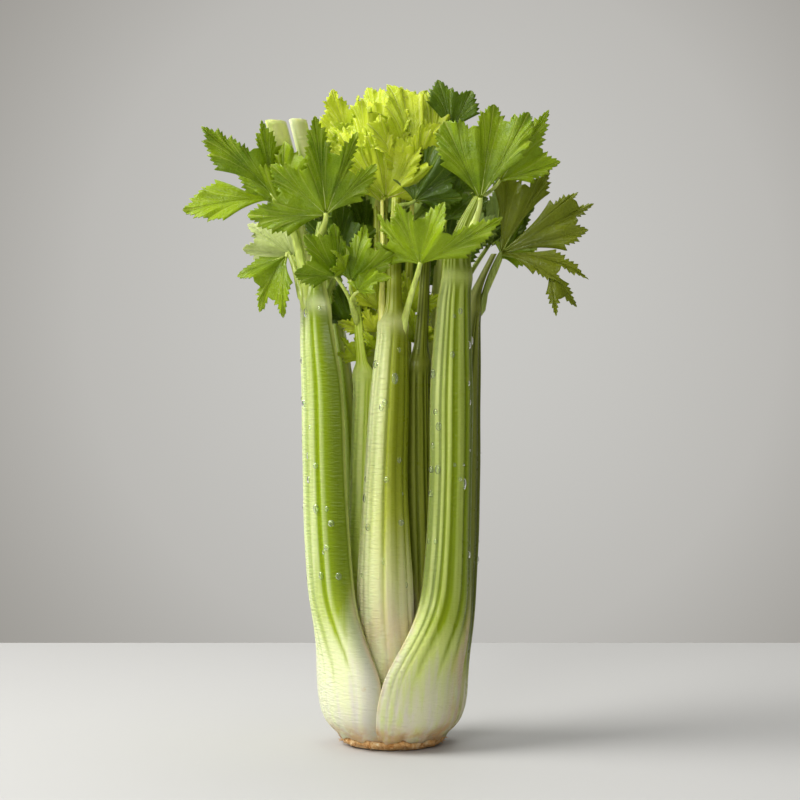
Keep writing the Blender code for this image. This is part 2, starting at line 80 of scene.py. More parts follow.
# The rings that close the top of a stalk: their share of its size, and how deep they lie.
HOLLOW_END = ((0.9, 0.0), (0.45, 0.5), (0.08, 0.7))
HEART_RINGS = 90
HEART_SIDES = 24

BLADE_HALF_THICKNESS = 0.17
# Where the rows of points lie from the foot of a blade to its rim, as shares of the way.
ROW_SHARES = np.concatenate([[0.03], np.linspace(0.1, 1, 12)])
TOOTH_PITCH = 2.9
TOOTH_DEPTH = 1.45
# Where the points of a tooth lie, as shares of its pitch: its tip, the middle of its back, and its notch.
TOOTH_PARTS = (0.0, 0.42, 0.8)
# How far in a coarse tooth reaches, as a share of the length of the blade.
COARSE_DEPTH = 0.035
# Each lobe is turned and bent at random, between these slopes.
LOBE_TILT = 0.55
LOBE_DROOP = (-0.14, 0.26)
# The swelling of a blade, as a share of its length.
SWELL = 0.034
# The main veins, at the foot and the tip, and how far they lie below the middle of the blade.
VEIN_RADII = (0.66, 0.16)
VEIN_SINK = 0.32
# The groove along a petiole, as a share of its radius.
GROOVE_DEPTH = 0.22

# The crown disc from its lower middle to its upper middle: radius and height.
CROWN_PROFILE = (
    (0.5, 0.0), (8, 0.0), (16, 0.0), (21, 0.0), (23.6, 0.15), (25.6, 0.8), (27.6, 1.9), (29.0, 3.1),
    (29.5, 4.3), (28.8, 5.6), (28.0, 7.4), (24, 8.2), (12, 8.4), (0.5, 8.4),
)
CROWN_SIDES = 144
# The disc is rough outside this radius.
ROUGH_FROM = 22
FLECKS = 90
FLECK = ((-0.5, 0), (0.5, 0), (0.42, 0.6), (0.1, 1), (-0.36, 0.7))
# How high a drop of water stands, as a share of its size, and how deep it sits in the stalk.
DROP_RISE = 0.58
DROP_SINK = 0.08
DROP_SIZES = (0.8, 2.0)

# Each stalk. "layer" is 0 for the outer shell and 1 for the inner. "pale" is the height where the white
# ends and the height where the green is full. "collar" is the height of the joint under the leaf stems, and
# a stalk without one is cut off. "tuck" lifts or sinks each edge of the base over or under its neighbour.
# "stain" is how tan its right half is low down. "smooth" is where its ribs start and end. The band of painted
# shade says where it darkens to the right and how much, and the band of painted highlight where its pale, lit
# left side ends and how pale it is, all from -1 at the left edge to 1 at the right. "seams" are the angles in
# degrees of the edges of the base, at each height. "keys" follow the free stalk: height, x and y of the
# middle of its outside face, the way it faces, half its width, how far its edges curl in, and its wall.
STALKS = {
    "stalk_front_left": dict(
        layer=0, ribs=7, look="bright", pale=(8, 106), collar=247, tuck=(1.2, -1.8), smooth=(-0.96, 0.5),
        dark=(0.42, 0.9, 0.86), glow=(-0.3, 0.3, 0.6),
        seams=((7, -182, -104), (30, -182, -98), (60, -181, -106), (90, -180, -117)),
        keys=(
            (40, -39, -23, -150, 22, 13, 9), (100, -45.5, -25.5, -150, 19.6, 14, 9),
            (150, -47.8, -26, -150, 18.2, 13.5, 9), (200, -48.5, -25.5, -150, 17, 12.5, 9),
            (234, -49.5, -24, -150, 13.6, 9, 9), (247, -49, -23.5, -150, 12, 7, 10.5),
            (255, -47.5, -23, -150, 8.6, 5, 8), (272, -45, -25, -150, 5.5, 3, 6),
            (292, -41, -30, -150, 3, 2, 4),
        )),
    "stalk_front_right": dict(
        layer=0, ribs=7, look="mid", pale=(12, 100), collar=262, tuck=(1.5, 1.2), stain=0.6,
        smooth=(-0.86, 0.9), dark=(-0.4, 0.9, 0.45), glow=(-0.8, -0.4, 0.16),
        seams=((7, -105, -27), (30, -100.5, -27), (60, -88, -26), (90, -72, -24)),
        keys=(
            (40, 33, -28, -58, 21, 12, 9), (100, 36.9, -30.5, -58, 15.2, 12, 8.5),
            (150, 38.3, -31, -58, 13.4, 11.5, 8.5), (200, 38.7, -31, -58, 13.5, 11, 8.5),
            (245, 38.5, -31, -58, 10.6, 8, 9), (262, 38.5, -31.5, -60, 8.8, 5.4, 9.6),
            (274, 38, -32, -65, 7.5, 4, 7.5), (290, 42, -32, -70, 5.5, 3, 6),
            (306, 48, -30.6, -70, 2.6, 1.6, 3.4),
        )),
    "stalk_right": dict(
        layer=0, ribs=6, look="deep", pale=(6, 80), collar=246, tuck=(-1.8, 1), stain=0.4,
        dark=(-1, 1, 0.3),
        seams=((7, -30, 22), (60, -28, 22), (90, -18, 23)),
        keys=(
            (40, 45, 3, 4, 12.5, 9, 9), (100, 48, 7, 7, 14, 12, 8.5), (150, 49.4, 8, 8, 14, 12, 8.5),
            (200, 49.8, 8, 8, 12.5, 10, 8.5), (240, 49.6, 7.5, 8, 9, 5, 8), (252, 49.6, 7, 8, 6, 3, 6),
            (264, 53, 6.5, 4, 3, 1.2, 3.4), (277, 59, 6, 0, 1.8, 0.8, 2.4),
        )),
    "stalk_rear_right": dict(
        layer=0, ribs=7, look="mid", pale=(10, 94), collar=250, tuck=(-1.8, 1),
        seams=((7, 19, 74), (90, 24, 71)),
        keys=(
            (40, 27, 34, 52, 16, 9, 9), (100, 29, 40, 55, 15, 12, 8.5),
            (150, 30.5, 41.5, 55, 14.5, 12, 8.5), (200, 31.5, 42, 55, 13, 10, 8.5),
            (240, 32, 42, 52, 9.5, 6, 9), (252, 32.5, 41, 50, 8.5, 5, 9), (266, 35, 37, 45, 5.5, 3, 6),
            (290, 41, 30, 40, 4, 2.4, 5), (310, 48, 23, 40, 2.6, 2, 3.4),
        )),
    "stalk_rear": dict(
        layer=0, ribs=7, look="bright", pale=(10, 100), collar=246, tuck=(-1.8, 1),
        seams=((7, 71, 128), (90, 74, 125)),
        keys=(
            (40, -7, 42, 99, 16, 9, 9), (100, -8.5, 47.5, 99, 15, 12, 8.5),
            (150, -9, 49, 99, 14.5, 12, 8.5), (200, -9, 49.5, 99, 13, 10, 8.5),
            (235, -9.5, 49, 99, 10, 6, 9), (248, -9.5, 48, 99, 9, 5, 9.5), (262, -11, 44, 99, 6, 3, 6.5),
            (290, -15, 38, 99, 4, 2.4, 5), (318, -19, 30, 99, 2.6, 2, 3.4),
        )),
    "stalk_rear_left": dict(
        layer=0, ribs=7, look="mid", pale=(8, 92), tuck=(-1.8, -1.8),
        seams=((7, 125, 180), (90, 126, 178)),
        keys=(
            (40, -35, 21, 149, 16, 9, 9), (100, -39.5, 25, 147, 14.5, 12, 8.5),
            (150, -41, 26.5, 145, 14, 12, 8.5), (200, -42.5, 26.5, 145, 12.5, 10, 8.5),
            (245, -46, 24, 150, 10, 6, 9), (290, -54.5, 17, 158, 8, 4, 8.5),
            (330, -65.4, 10, 165, 9.4, 3, 9.6), (352, -72, 7, 170, 10, 3, 10.4),
        )),
    "stalk_inner_front": dict(
        layer=1, ribs=6, look="pale", pale=(30, 180), collar=237, dark=(-0.5, 0.8, 0.8),
        glow=(-0.5, 0.15, 0.5),
        seams=((7, -126, -62), (90, -122, -66)),
        keys=(
            (40, -4, -30, -95, 15, 7, 8), (86, -5, -34.5, -95, 15.6, 8.5, 9),
            (120, -5, -35.5, -94, 14, 8.5, 9.5), (150, -4.4, -35, -93, 12.2, 8, 9.5),
            (200, -2, -33, -92, 10.6, 7, 9.5), (228, -0.2, -31, -90, 8.8, 5, 9),
            (237, 0.2, -30.5, -90, 8, 4, 9.6), (245, 0.6, -28.5, -90, 5, 2.4, 6),
            (272, 1, -26.5, -90, 3.6, 1.8, 4.4), (306, 2, -24, -90, 2.6, 1.6, 3.4),
        )),
    "stalk_inner_left": dict(
        layer=1, ribs=5, look="inner", pale=(40, 120), collar=209, dark=(0.4, 1, 0.1),
        glow=(-0.5, 1, 0.35),
        seams=((7, -180, -128), (90, -176, -130)),
        keys=(
            (40, -20, -16, -140, 11, 6, 7), (90, -21.5, -16, -128, 9, 5, 7),
            (150, -20, -15.5, -122, 7.8, 5, 7), (195, -18.2, -15.5, -116, 6.8, 4.2, 7),
            (209, -17.6, -15.5, -112, 6, 3.2, 6.6), (216, -17.9, -15.5, -110, 3.2, 1.2, 4),
            (232, -19.4, -16.6, -110, 2.6, 1, 3.4), (249, -20.8, -18, -110, 2.2, 1.2, 3.2),
        )),
    "stalk_inner_right": dict(
        layer=1, ribs=5, look="deep", pale=(40, 110), collar=214,
        seams=((7, -60, -12), (90, -58, -14)),
        keys=(
            (40, 21, -17, -42, 11, 6, 7), (90, 20, -17, -48, 9, 5, 7), (150, 18.4, -16.5, -52, 8.6, 5, 7),
            (200, 17.6, -16, -54, 7.6, 4.4, 7), (214, 17.4, -15.5, -56, 6.6, 3.6, 7),
            (226, 17.4, -14, -58, 4, 2, 5), (293, 20.8, -11.5, -60, 2.4, 1.4, 3.2),
        )),
    "stalk_inner_rear_left": dict(
        layer=1, ribs=5, look="bright", pale=(36, 110),
        seams=((7, 112, 178), (90, 120, 174)),
        keys=(
            (40, -24, 8, 160, 12, 6, 7), (90, -28, 8.5, 172, 10, 6, 7), (150, -29, 9, 175, 9.6, 6, 7),
            (200, -31, 8, 175, 8.6, 5, 7), (250, -37.5, 5, 175, 7, 3.6, 6.6),
            (300, -46, -1, 175, 7, 2.8, 7.2), (351, -58.6, -6, 178, 9, 2.6, 9.4),
        )),
    "stalk_inner_rear": dict(
        layer=1, ribs=5, look="inner", pale=(36, 120), collar=224,
        seams=((7, 52, 110), (90, 58, 106)),
        keys=(
            (40, 3, 28, 82, 12, 6, 7), (90, 2.4, 31, 85, 10, 6, 7), (150, 2, 31, 85, 9.4, 6, 7),
            (200, 2, 30.5, 85, 8.4, 5, 7), (226, 2, 29, 85, 6.4, 3.4, 6.4), (240, 2, 27, 85, 4.2, 2.2, 5),
            (314, 5, 16.6, 85, 2.4, 1.6, 3.2),
        )),
    "stalk_inner_rear_right": dict(
        layer=1, ribs=5, look="inner", pale=(36, 110), collar=220,
        seams=((7, -10, 50), (90, -2, 52)),
        keys=(
            (40, 26, 10, 22, 12, 6, 7), (90, 26, 13, 26, 10, 6, 7), (150, 25.6, 14, 28, 9, 6, 7),
            (200, 25.4, 14, 28, 8, 5, 7), (222, 25.6, 13.5, 28, 6.2, 3.4, 6.4),
            (236, 26, 12.5, 28, 4.2, 2.2, 5), (302, 31, 9, 28, 2.4, 1.4, 3.2),
        )),
}

# Thin stalks of the heart: height, x, y and radius.
HEART = {
    "heart_front": (
        (6, -6, -7, 6), (60, -4, -8, 5.2), (110, -5.5, -5, 4.6), (200, -6, -5, 3.6), (303, -9, -2, 1.8)),
    "heart_right": (
        (6, 8, 1, 6), (60, 7, 1, 5.2), (110, 6.5, -1, 4.6), (200, 7, -2, 3.4), (293, 10, -2, 1.8)),
    "heart_rear": (
        (6, -4, 8, 6), (60, -3, 7.5, 5.2), (110, -3.5, 8, 4.6), (200, -3.5, 8, 3.4), (308, -5, 9, 1.8)),
}


def leaf(start, petiole, look, *blades):
    """A leaf on a petiole that starts there, with that radius. The petiole runs to the first blade."""
    return dict(start=start, petiole=petiole, look=look, blades=blades)


def blade(foot, tip, face, bend, notch, lobes, **details):
    """A blade from the foot to the tip of its middle lobe, whose upper side faces that way. It bends by its
    arch, its cup and its ruffle. The notch is how far in it is cut between two lobes. A lobe has its angle
    from the middle, its reach and half its own angle. The details are how "round" the lobes are, how far out
    the "shoulder" at each end is, the "tone" from dark to light, the "pitch" of the teeth, and whether it
    takes the darker look of painted shade, for a blade that lies in shade."""
    arch, cup, ruffle = bend
    return dict(
        details, foot=foot, tip=tip, face=face, arch=arch, cup=cup, ruffle=ruffle, notch=notch, lobes=lobes)


TRIPLE = ((-44, 0.84, 30), (0, 1, 28), (44, 0.84, 30))
CURLY = ((-54, 0.78, 30), (-18, 0.97, 26), (17, 1, 26), (52, 0.82, 30))

# Every leaf, with its start, the radius of its petiole, its look and its blades. Leaves and blades given the
# darker look of painted shade are dark copies for those that lie in shadow.
LEAVES = {
    "leaf_front_left": leaf((-42.4, -28.4, 278), 2.2, "leaf",
        blade((-36.4, -38, 295), (-40, -52, 347), (0, -1, 0.4), (-0.04, 0.16, 1.6), 0.7,
            ((-88, 0.8, 27), (-44, 0.74, 27), (-2, 1, 22), (25, 0.9, 20), (50, 0.72, 24)), round=1.9)),
    "leaf_left": leaf((-46.5, -24, 239), 2.9, "leaf",
        blade((-67, -13, 309), (-101.4, -24, 349.5), (0.1, -1, 0.3), (0.04, 0.1, 1.2), 0.66,
            ((-6, 1, 22), (31, 0.76, 19)), shoulder=0.66),
        blade((-67, -13, 306), (-116, -24, 301), (0, -1, 0.5), (0.05, 0.12, 1.2), 0.64, ((0, 1, 26),),
            shoulder=0.68, tone=0.9),
        blade((-66, -9, 303), (-74, -8, 341), (-0.3, -1, 0.2), (0.05, 0.16, 1.4), 0.8,
            ((-30, 0.9, 24), (0, 1, 24), (30, 0.9, 24))),
        blade((-62, -12, 300), (-48, -15, 337), (0.2, -1, 0.3), (0.06, 0.2, 2.0), 0.84, CURLY, tone=0.9)),
    "leaf_left_low": leaf((-50, -24, 248), 1.7, "leaf",
        blade((-59, -20, 274), (-61, -30, 240), (-0.2, -1, 0.35), (0.1, 0.08, 1.3), 0.78,
            ((0, 1, 20), (26, 0.96, 18), (66, 0.84, 28)), tone=0.7)),
    "leaf_left_back": leaf((-49, 17, 256), 1.5, "underside",
        blade((-57, 14, 276), (-84, 18, 296), (-0.3, -1, 0.4), (0.06, 0.12, 1.2), 0.84,
            ((-30, 0.86, 26), (0, 1, 26), (44, 0.84, 28)))),
    "leaf_left_inner": leaf((-40, -20, 240), 1.9, "dark",
        blade((-30, -15, 272), (-27, -15, 306), (0.2, -1, 0.4), (0.05, 0.1, 1.2), 0.86,
            ((-44, 0.84, 28), (0, 1, 28), (44, 0.8, 28)), round=2)),
    "leaf_inner_left_a": leaf((-20.5, -17.5, 238), 1.4, "leaf",
        blade((-31, -41, 261), (-48, -52, 283), (0.1, -1, 0.5), (0.08, 0.14, 1.4), 0.8,
            ((-46, 0.92, 28), (0, 1, 28), (46, 1.0, 28)), tone=0.3)),
    "leaf_inner_left_b": leaf((-20.6, -20.5, 246), 1.3, "leaf",
        blade((-23, -34, 259), (-15, -36, 290), (0.1, -1, 0.3), (0.08, 0.2, 2.0), 0.76,
            ((-46, 0.8, 28), (0, 1, 26), (44, 0.9, 28)), tone=0.5),
        blade((-26, -40, 264), (-34, -47, 275), (0.3, -1, 0.6), (0.2, 0.3, 1.6), 0.7, TRIPLE, tone=1.4,
            pitch=2)),
    "leaf_inner_left_c": leaf((-20.2, -17.5, 236), 1.4, "leaf",
        blade((-19, -39, 253), (-1, -47, 261), (-0.1, -1, 0.6), (0.1, 0.12, 1.2), 0.82,
            ((-96, 0.8, 26), (-48, 0.84, 26), (0, 1, 24), (32, 0.66, 20)), tone=0.9)),
    "leaf_front": leaf((3.6, -24.5, 223), 2.2, "leaf",
        blade((15, -41, 268), (23.4, -58, 298), (0, -1, 0.6), (0.06, 0.1, 1.3), 0.72,
            ((-92, 0.84, 20), (-66, 1.02, 20), (-36, 1.02, 22), (3, 1.02, 22), (42, 1.4, 20)), round=1.7,
            tone=0.8)),
    "leaf_front_upper": leaf((1.8, -23.4, 300), 1.5, "dark",
        blade((12, -22, 304), (34, -20, 329), (0.1, -1, 0.4), (0.06, 0.1, 1.2), 0.86,
            ((-58, 0.9, 28), (-22, 1, 26), (12, 1, 24), (46, 0.8, 24)), round=2)),
    "leaf_front_right": leaf((44, -31.5, 286), 2.5, "leaf",
        blade((48, -30, 304), (50.2, -38, 356), (0, -1, 0.22), (0.03, 0.16, 1.4), 0.86,
            ((-27, 0.9, 24), (6, 1, 18), (27, 1.04, 18)), round=2.6, shoulder=0.62, tone=0.6)),
    "leaf_right_upper": leaf((47, 23, 304), 1.5, "leaf",
        blade((60, -4, 317), (87, -14, 356), (0.2, -1, 0.3), (0.05, 0.1, 1.2), 0.84,
            ((-22, 0.8, 20), (0, 1, 20), (38, 0.74, 20)), tone=1.1)),
    "leaf_right": leaf((49.5, 7, 242), 2.0, "olive",
        blade((61, 6, 277), (89, 3, 326), (0.1, -1, 0.25), (0.03, 0.08, 0.8), 0.86,
            ((-24, 0.86, 12), (0, 1, 9)), shoulder=0.8, tone=0.5),
        blade((61, 6, 277), (111.5, -2, 308), (0.1, -1, 0.25), (0.03, 0.08, 0.8), 0.93,
            ((-8, 0.94, 8), (1, 1, 11), (16, 0.86, 13)), shoulder=0.74, tone=0.5),
        blade((61, 6, 277), (111, 0, 264), (0.1, -1, 0.5), (0.14, 0.12, 0.8), 0.9,
            ((0, 1, 12), (13, 0.76, 12)), shoulder=0.6, tone=0.8),
        blade((88, 3, 270), (92.5, 0, 241), (-0.2, -1, 0.2), (0.04, 0.1, 0.6), 0.74,
            ((-25, 0.94, 15), (0, 1, 14)), tone=0.6)),
    "leaf_top_right": leaf((44, 26.5, 304), 1.5, "dark",
        blade((32.6, 8, 346), (28, 6, 377), (0.4, -1, 0.2), (0.03, 0.08, 0.6), 0.88,
            ((0, 1, 30), (36, 0.88, 28)), shoulder=0.72, tone=0.9)),
    "leaf_top_left": leaf((-19, 28, 314), 1.5, "young",
        blade((-23, 14, 336), (-33, 14, 372), (-0.6, -1, 0.2), (0.04, 0.16, 1.6), 0.88,
            ((-40, 0.8, 26), (0, 1, 26), (40, 0.76, 28)), tone=0.5),
        blade((-21, 12, 334), (-18, 8, 362), (0.2, -1, 0.2), (0.08, 0.2, 1.8), 0.8, TRIPLE, tone=0.1)),
    "leaf_heart_a": leaf((-9, -2, 298), 1.6, "young",
        blade((-9, -3, 318), (-17, 0, 366), (-0.7, -1, 0), (0.08, 0.2, 2.2), 0.86,
            ((-34, 0.84, 24), (0, 1, 24), (36, 0.9, 24)), pitch=2.5),
        blade((-9, -4, 314), (-21, -9, 350), (-0.3, -1, 0.3), (0.1, 0.2, 2.2), 0.88, CURLY, tone=0.9,
            pitch=2.3)),
    "leaf_heart_b": leaf((-5, 9.2, 303), 1.6, "young",
        blade((-2, 8, 318), (3, 9, 377), (0, -1, 0), (0.05, 0.16, 2.0), 0.88, CURLY, pitch=2.5),
        blade((-2, 4, 318), (-9, 3, 371), (-0.4, -1, 0), (0.06, 0.2, 2.2), 0.88, CURLY, tone=1.0,
            pitch=2.5),
        blade((0, 0, 312), (-1, -3, 358), (0.3, -1, 0.1), (0.1, 0.2, 2.2), 0.9, CURLY, tone=0.4,
            pitch=2.5)),
    "leaf_heart_c": leaf((10, -2, 288), 1.6, "young",
        blade((12, -6, 318), (17, -5, 374), (0.7, -1, 0), (0.06, 0.2, 2.0), 0.88, CURLY, pitch=2.5),
        blade((12, -8, 314), (25, -14, 348), (0.5, -1, 0.2), (0.08, 0.2, 2.0), 0.86, CURLY, tone=1.0,
            pitch=2.5)),
    "leaf_heart_d": leaf((-6, -27, 230), 1.7, "young",
        blade((-6, -17, 304), (-7, -14, 353), (-0.1, -1, 0.1), (0.08, 0.16, 2.0), 0.8,
            ((-42, 0.78, 28), (0, 1, 26), (36, 0.8, 26)), tone=0.7, pitch=2.5),
        blade((-4, -18, 306), (8, -20, 347), (0.2, -1, 0.2), (0.1, 0.2, 2.2), 0.86, CURLY, pitch=2.5)),
    "leaf_heart_e": leaf((5, 15.6, 310), 1.4, "young",
        blade((19, 15, 322), (25, 16, 360), (1, -0.8, 0), (0.05, 0.2, 2.4), 0.66,
            ((-32, 0.6, 20), (0, 1, 20), (34, 0.6, 18))),
        blade((4, 14, 256), (9, 12, 304), (0.1, -1, 0.1), (0.06, 0.2, 1.8), 0.8, TRIPLE, dark=True),
        blade((10, 17, 318), (14, 26, 352), (0.4, 1, 0.1), (0.06, 0.2, 1.8), 0.8, TRIPLE, tone=0.9)),
    "leaf_heart_f": leaf((-7, 11, 303), 1.4, "young",
        blade((-8, 24, 318), (-11, 33, 356), (-0.4, 1, 0.1), (0.06, 0.2, 2.4), 0.66,
            ((-38, 0.76, 22), (0, 1, 22), (38, 0.76, 22))),
        blade((-14, 12, 276), (-20, 10, 314), (0, -1, 0.1), (0.06, 0.2, 1.8), 0.8, TRIPLE, dark=True),
        blade((-8, 18, 316), (-20, 24, 348), (-0.9, 0.6, 0.1), (0.06, 0.2, 1.8), 0.8, TRIPLE, tone=0.9)),
    "leaf_heart_low": leaf((-7.6, -9, 222), 1.0, "young",
        blade((-8, -17, 244), (-9, -19, 270), (0, -1, 0), (0.1, 0.3, 2.4), 0.6, TRIPLE, pitch=2.2),
        blade((-9, -14, 232), (-16, -15, 250), (-0.3, -1, 0), (0.2, 0.3, 2.4), 0.6, TRIPLE, tone=1.0,
            pitch=2.2),
        blade((-10, -13, 222), (-7, -15, 238), (0.4, -1, 0), (0.2, 0.3, 2.4), 0.6, TRIPLE, tone=0.2,
            pitch=2.2),
        blade((-24, -9, 236), (-30, -10, 262), (-0.2, -1, 0), (0.14, 0.2, 2.2), 0.7, TRIPLE, pitch=2.2,
            dark=True),
        blade((-19, -5, 216), (-24, -7, 233), (-0.2, -1, 0), (0.2, 0.3, 2.4), 0.7, CURLY, tone=0.1,
            pitch=2.2),
        blade((-15, -7, 232), (-21, -9, 254), (0.2, -1, 0), (0.2, 0.3, 2.4), 0.7, CURLY, tone=0.6,
            pitch=2.2),
        blade((12, -5, 226), (15, -7, 248), (0.2, -1, 0), (0.2, 0.3, 2.4), 0.7, CURLY, tone=0.1,
            pitch=2.2),
        blade((11, -4, 243), (14, -6, 268), (-0.2, -1, 0), (0.2, 0.3, 2.4), 0.7, CURLY, tone=0.3,
            pitch=2.2)),
    "leaf_inner_right": leaf((20.6, -11, 289), 1.4, "dark",
        blade((27, -11, 294), (36, -13, 319), (0.2, -1, 0.4), (0.06, 0.1, 1.2), 0.8,
            ((-50, 0.84, 28), (0, 1, 28), (44, 1.1, 26)), tone=0.7)),
    "leaf_inner_rear_right": leaf((30.6, 8.6, 298), 1.4, "leaf",
        blade((34, 7, 312), (44, 4, 344), (0.8, -1, 0.2), (0.05, 0.12, 1.4), 0.66, TRIPLE),
        blade((30, 10, 268), (30, 8, 306), (0.2, -1, 0.1), (0.06, 0.2, 1.6), 0.8, TRIPLE, dark=True)),
    "leaf_side_right": leaf((48, 9.5, 240), 1.7, "leaf",
        blade((63, 22, 278), (73, 31, 309), (1, -0.3, 0.3), (0.06, 0.14, 1.4), 0.66, TRIPLE),
        blade((62, 20, 276), (84, 34, 282), (0.6, -0.2, 0.9), (0.1, 0.12, 1.4), 0.78, TRIPLE, tone=0.8)),
    "leaf_rear_a": leaf((-9.5, 47, 249), 2.1, "leaf",
        blade((-8, 60, 290), (-14, 79, 338), (0, 1, 0.4), (0.06, 0.16, 1.6), 0.7,
            ((-50, 0.8, 28), (0, 1, 26), (50, 0.64, 26))),
        blade((-9, 54, 286), (-30, 60, 326), (-0.4, 1, 0.2), (0.06, 0.14, 1.6), 0.8, TRIPLE, tone=0.9),
        blade((-7, 54, 288), (8, 60, 334), (0.3, 1, 0.2), (0.06, 0.14, 1.6), 0.8, TRIPLE, tone=0.3)),
    "leaf_rear_b": leaf((-18, 46, 246), 1.8, "leaf",
        blade((-38, 53, 284), (-62, 72, 312), (-0.5, 1, 0.4), (0.06, 0.12, 1.4), 0.66,
            ((-44, 0.86, 26), (0, 1, 24), (46, 0.8, 26))),
        blade((-36, 50, 280), (-52, 58, 256), (-0.5, 1, 0.3), (0.1, 0.12, 1.4), 0.78, TRIPLE, tone=0.9),
        blade((-38, 50, 286), (-46, 54, 328), (-0.6, 1, 0.1), (0.06, 0.12, 1.4), 0.8, TRIPLE, tone=0.2)),
    "leaf_rear_c": leaf((31, 42, 252), 2.0, "leaf",
        blade((29, 50, 290), (38, 64, 334), (0.3, 1, 0.25), (0.06, 0.14, 1.6), 0.68,
            ((-48, 0.84, 26), (0, 1, 26), (44, 0.6, 22))),
        blade((30, 46, 284), (52, 52, 324), (0.6, 1, 0.2), (0.06, 0.14, 1.6), 0.8, TRIPLE, tone=0.2)),
    "leaf_rear_d": leaf((37, 37, 250), 1.8, "dark",
        blade((57, 43, 286), (74, 66, 312), (0.5, 1, 0.4), (0.06, 0.12, 1.4), 0.66,
            ((-44, 0.66, 24), (0, 1, 24), (46, 0.66, 24))),
        blade((57, 41, 284), (68, 44, 326), (0.7, 0.9, 0.2), (0.06, 0.12, 1.4), 0.8, TRIPLE, tone=0.7)),
    "leaf_rear_low": leaf((0, 46, 244), 1.4, "leaf",
        blade((10, 57, 262), (12, 74, 246), (0.1, 0.8, 0.7), (0.12, 0.12, 1.2), 0.66, TRIPLE)),
}


# ---------------------------------------------------------------- looks

# Where the painted shade and the painted highlight on the pale, lit side start and end round a stalk, and how
# strong they are.
DEFAULT_BANDS = {"dark": (0.4, 1.0, 0.4), "glow": (-0.8, 0.2, 0.0)}

# The colours of a stalk, from its white foot through pale and middle to full green.
STALK_LOOKS = {
    "bright": ((0.74, 0.71, 0.60), (0.78, 0.83, 0.46), (0.42, 0.54, 0.035), (0.26, 0.375, 0.004)),
    "mid": ((0.74, 0.70, 0.56), (0.66, 0.75, 0.22), (0.28, 0.375, 0.005), (0.19, 0.265, 0.002)),
    "deep": ((0.72, 0.66, 0.40), (0.38, 0.42, 0.06), (0.16, 0.20, 0.010), (0.115, 0.145, 0.004)),
    "pale": ((0.78, 0.74, 0.54), (0.78, 0.80, 0.34), (0.55, 0.62, 0.06), (0.36, 0.43, 0.01)),
    "inner": ((0.80, 0.78, 0.46), (0.74, 0.81, 0.26), (0.63, 0.76, 0.07), (0.54, 0.70, 0.03)),
}

# The colours of a leaf: its deep and light green, its veins, and its petiole.
LEAF_LOOKS = {
    "leaf": ((0.10, 0.21, 0.001), (0.34, 0.49, 0.006), (0.60, 0.68, 0.12), (0.46, 0.55, 0.10)),
    # This look is painted shade: a darker copy of the leaf look for leaves that lie in shadow.
    "dark": ((0.04, 0.095, 0.003), (0.12, 0.21, 0.005), (0.28, 0.36, 0.04), (0.24, 0.31, 0.03)),
    "olive": ((0.15, 0.19, 0.007), (0.27, 0.32, 0.012), (0.46, 0.50, 0.07), (0.24, 0.31, 0.03)),
    "young": ((0.48, 0.63, 0.006), (0.80, 0.90, 0.04), (0.92, 0.95, 0.30), (0.62, 0.62, 0.12)),
    "underside": ((0.60, 0.71, 0.20), (0.78, 0.86, 0.38), (0.86, 0.90, 0.56), (0.46, 0.55, 0.10)),
}
UNDER_TINT = (0.40, 0.48, 0.16)
TABLE_GREY = (0.53, 0.53, 0.525)
# How far red, green and blue light go into the flesh, against each other.
FLESH_DEPTHS = (0.5, 0.8, 0.15)
# A leaf has six materials: three of its own look, and three of the painted shade look, for blades in shade,
# from this one on.
PAINTED_SHADE_PAINTS = 3


# ---------------------------------------------------------------- curves and sections

def along(keys, z):
    """The values that a table gives at this height, on a smooth curve through its rows."""
    if z <= keys[0][0]:
        return keys[0][1:]
    if z >= keys[-1][0]:
        return keys[-1][1:]
    i = max(k for k in range(len(keys) - 1) if keys[k][0] <= z)
    a, b = keys[i], keys[i + 1]
    before, after = keys[max(i - 1, 0)], keys[min(i + 2, len(keys) - 1)]
    step = b[0] - a[0]
    t = (z - a[0]) / step
    found = []
    for k in range(1, len(a)):
        m0 = (b[k] - before[k]) / (b[0] - before[0]) * step
        m1 = (after[k] - a[k]) / (after[0] - a[0]) * step
        found.append(
            (2 * t**3 - 3 * t**2 + 1) * a[k] + (t**3 - 2 * t**2 + t) * m0
            + (3 * t**2 - 2 * t**3) * b[k] + (t**3 - t**2) * m1
        )
    return tuple(found)


def ease(low, high, x):
    t = np.clip((x - low) / (high - low), 0, 1)
    return t * t * (3 - 2 * t)


def wander(seed, *values):
    """A slow, repeatable unevenness between about -1 and 1."""
    total = 0
    for k, value in enumerate(values):
        total = total + np.sin(value + seed * (1.7 + k)) + 0.5 * np.sin(2.3 * value + seed * (2.9 + k))
    return total / (1.5 * len(values))


def unit(vector):
    return vector / np.linalg.norm(vector)


def distances(points):
    """How far along the line through these points each of them lies."""
    return np.concatenate([[0], np.cumsum(np.linalg.norm(np.diff(points, axis=0), axis=1))])


def shell_outline(spec, z, t, inside):
    """The base, which wraps the head as one piece of a shell. Its edges go over or under their neighbours."""
    outer = along(HEAD_RADIUS, z)[0]
    wall = along(OUTER_WALL, z)[0]
    if spec["layer"]:
        outer -= wall + SHELL_GAP
        wall = along(INNER_WALL, z)[0]
    first, last = along(spec["seams"], z)
    angle = np.radians(first + (last - first) * (t + 1) / 2)
    first_tuck, last_tuck = spec.get("tuck", (0, 0))
    radius = outer + np.where(t < 0, first_tuck, last_tuck) * np.abs(t) ** 4
    if inside:
        radius = radius - wall * (1 - 0.62 * np.abs(t) ** 2.5)
    else:
        radius = radius - 0.12 * wall * np.abs(t) ** 8
    return np.stack([radius * np.cos(angle), radius * np.sin(angle)], 1)


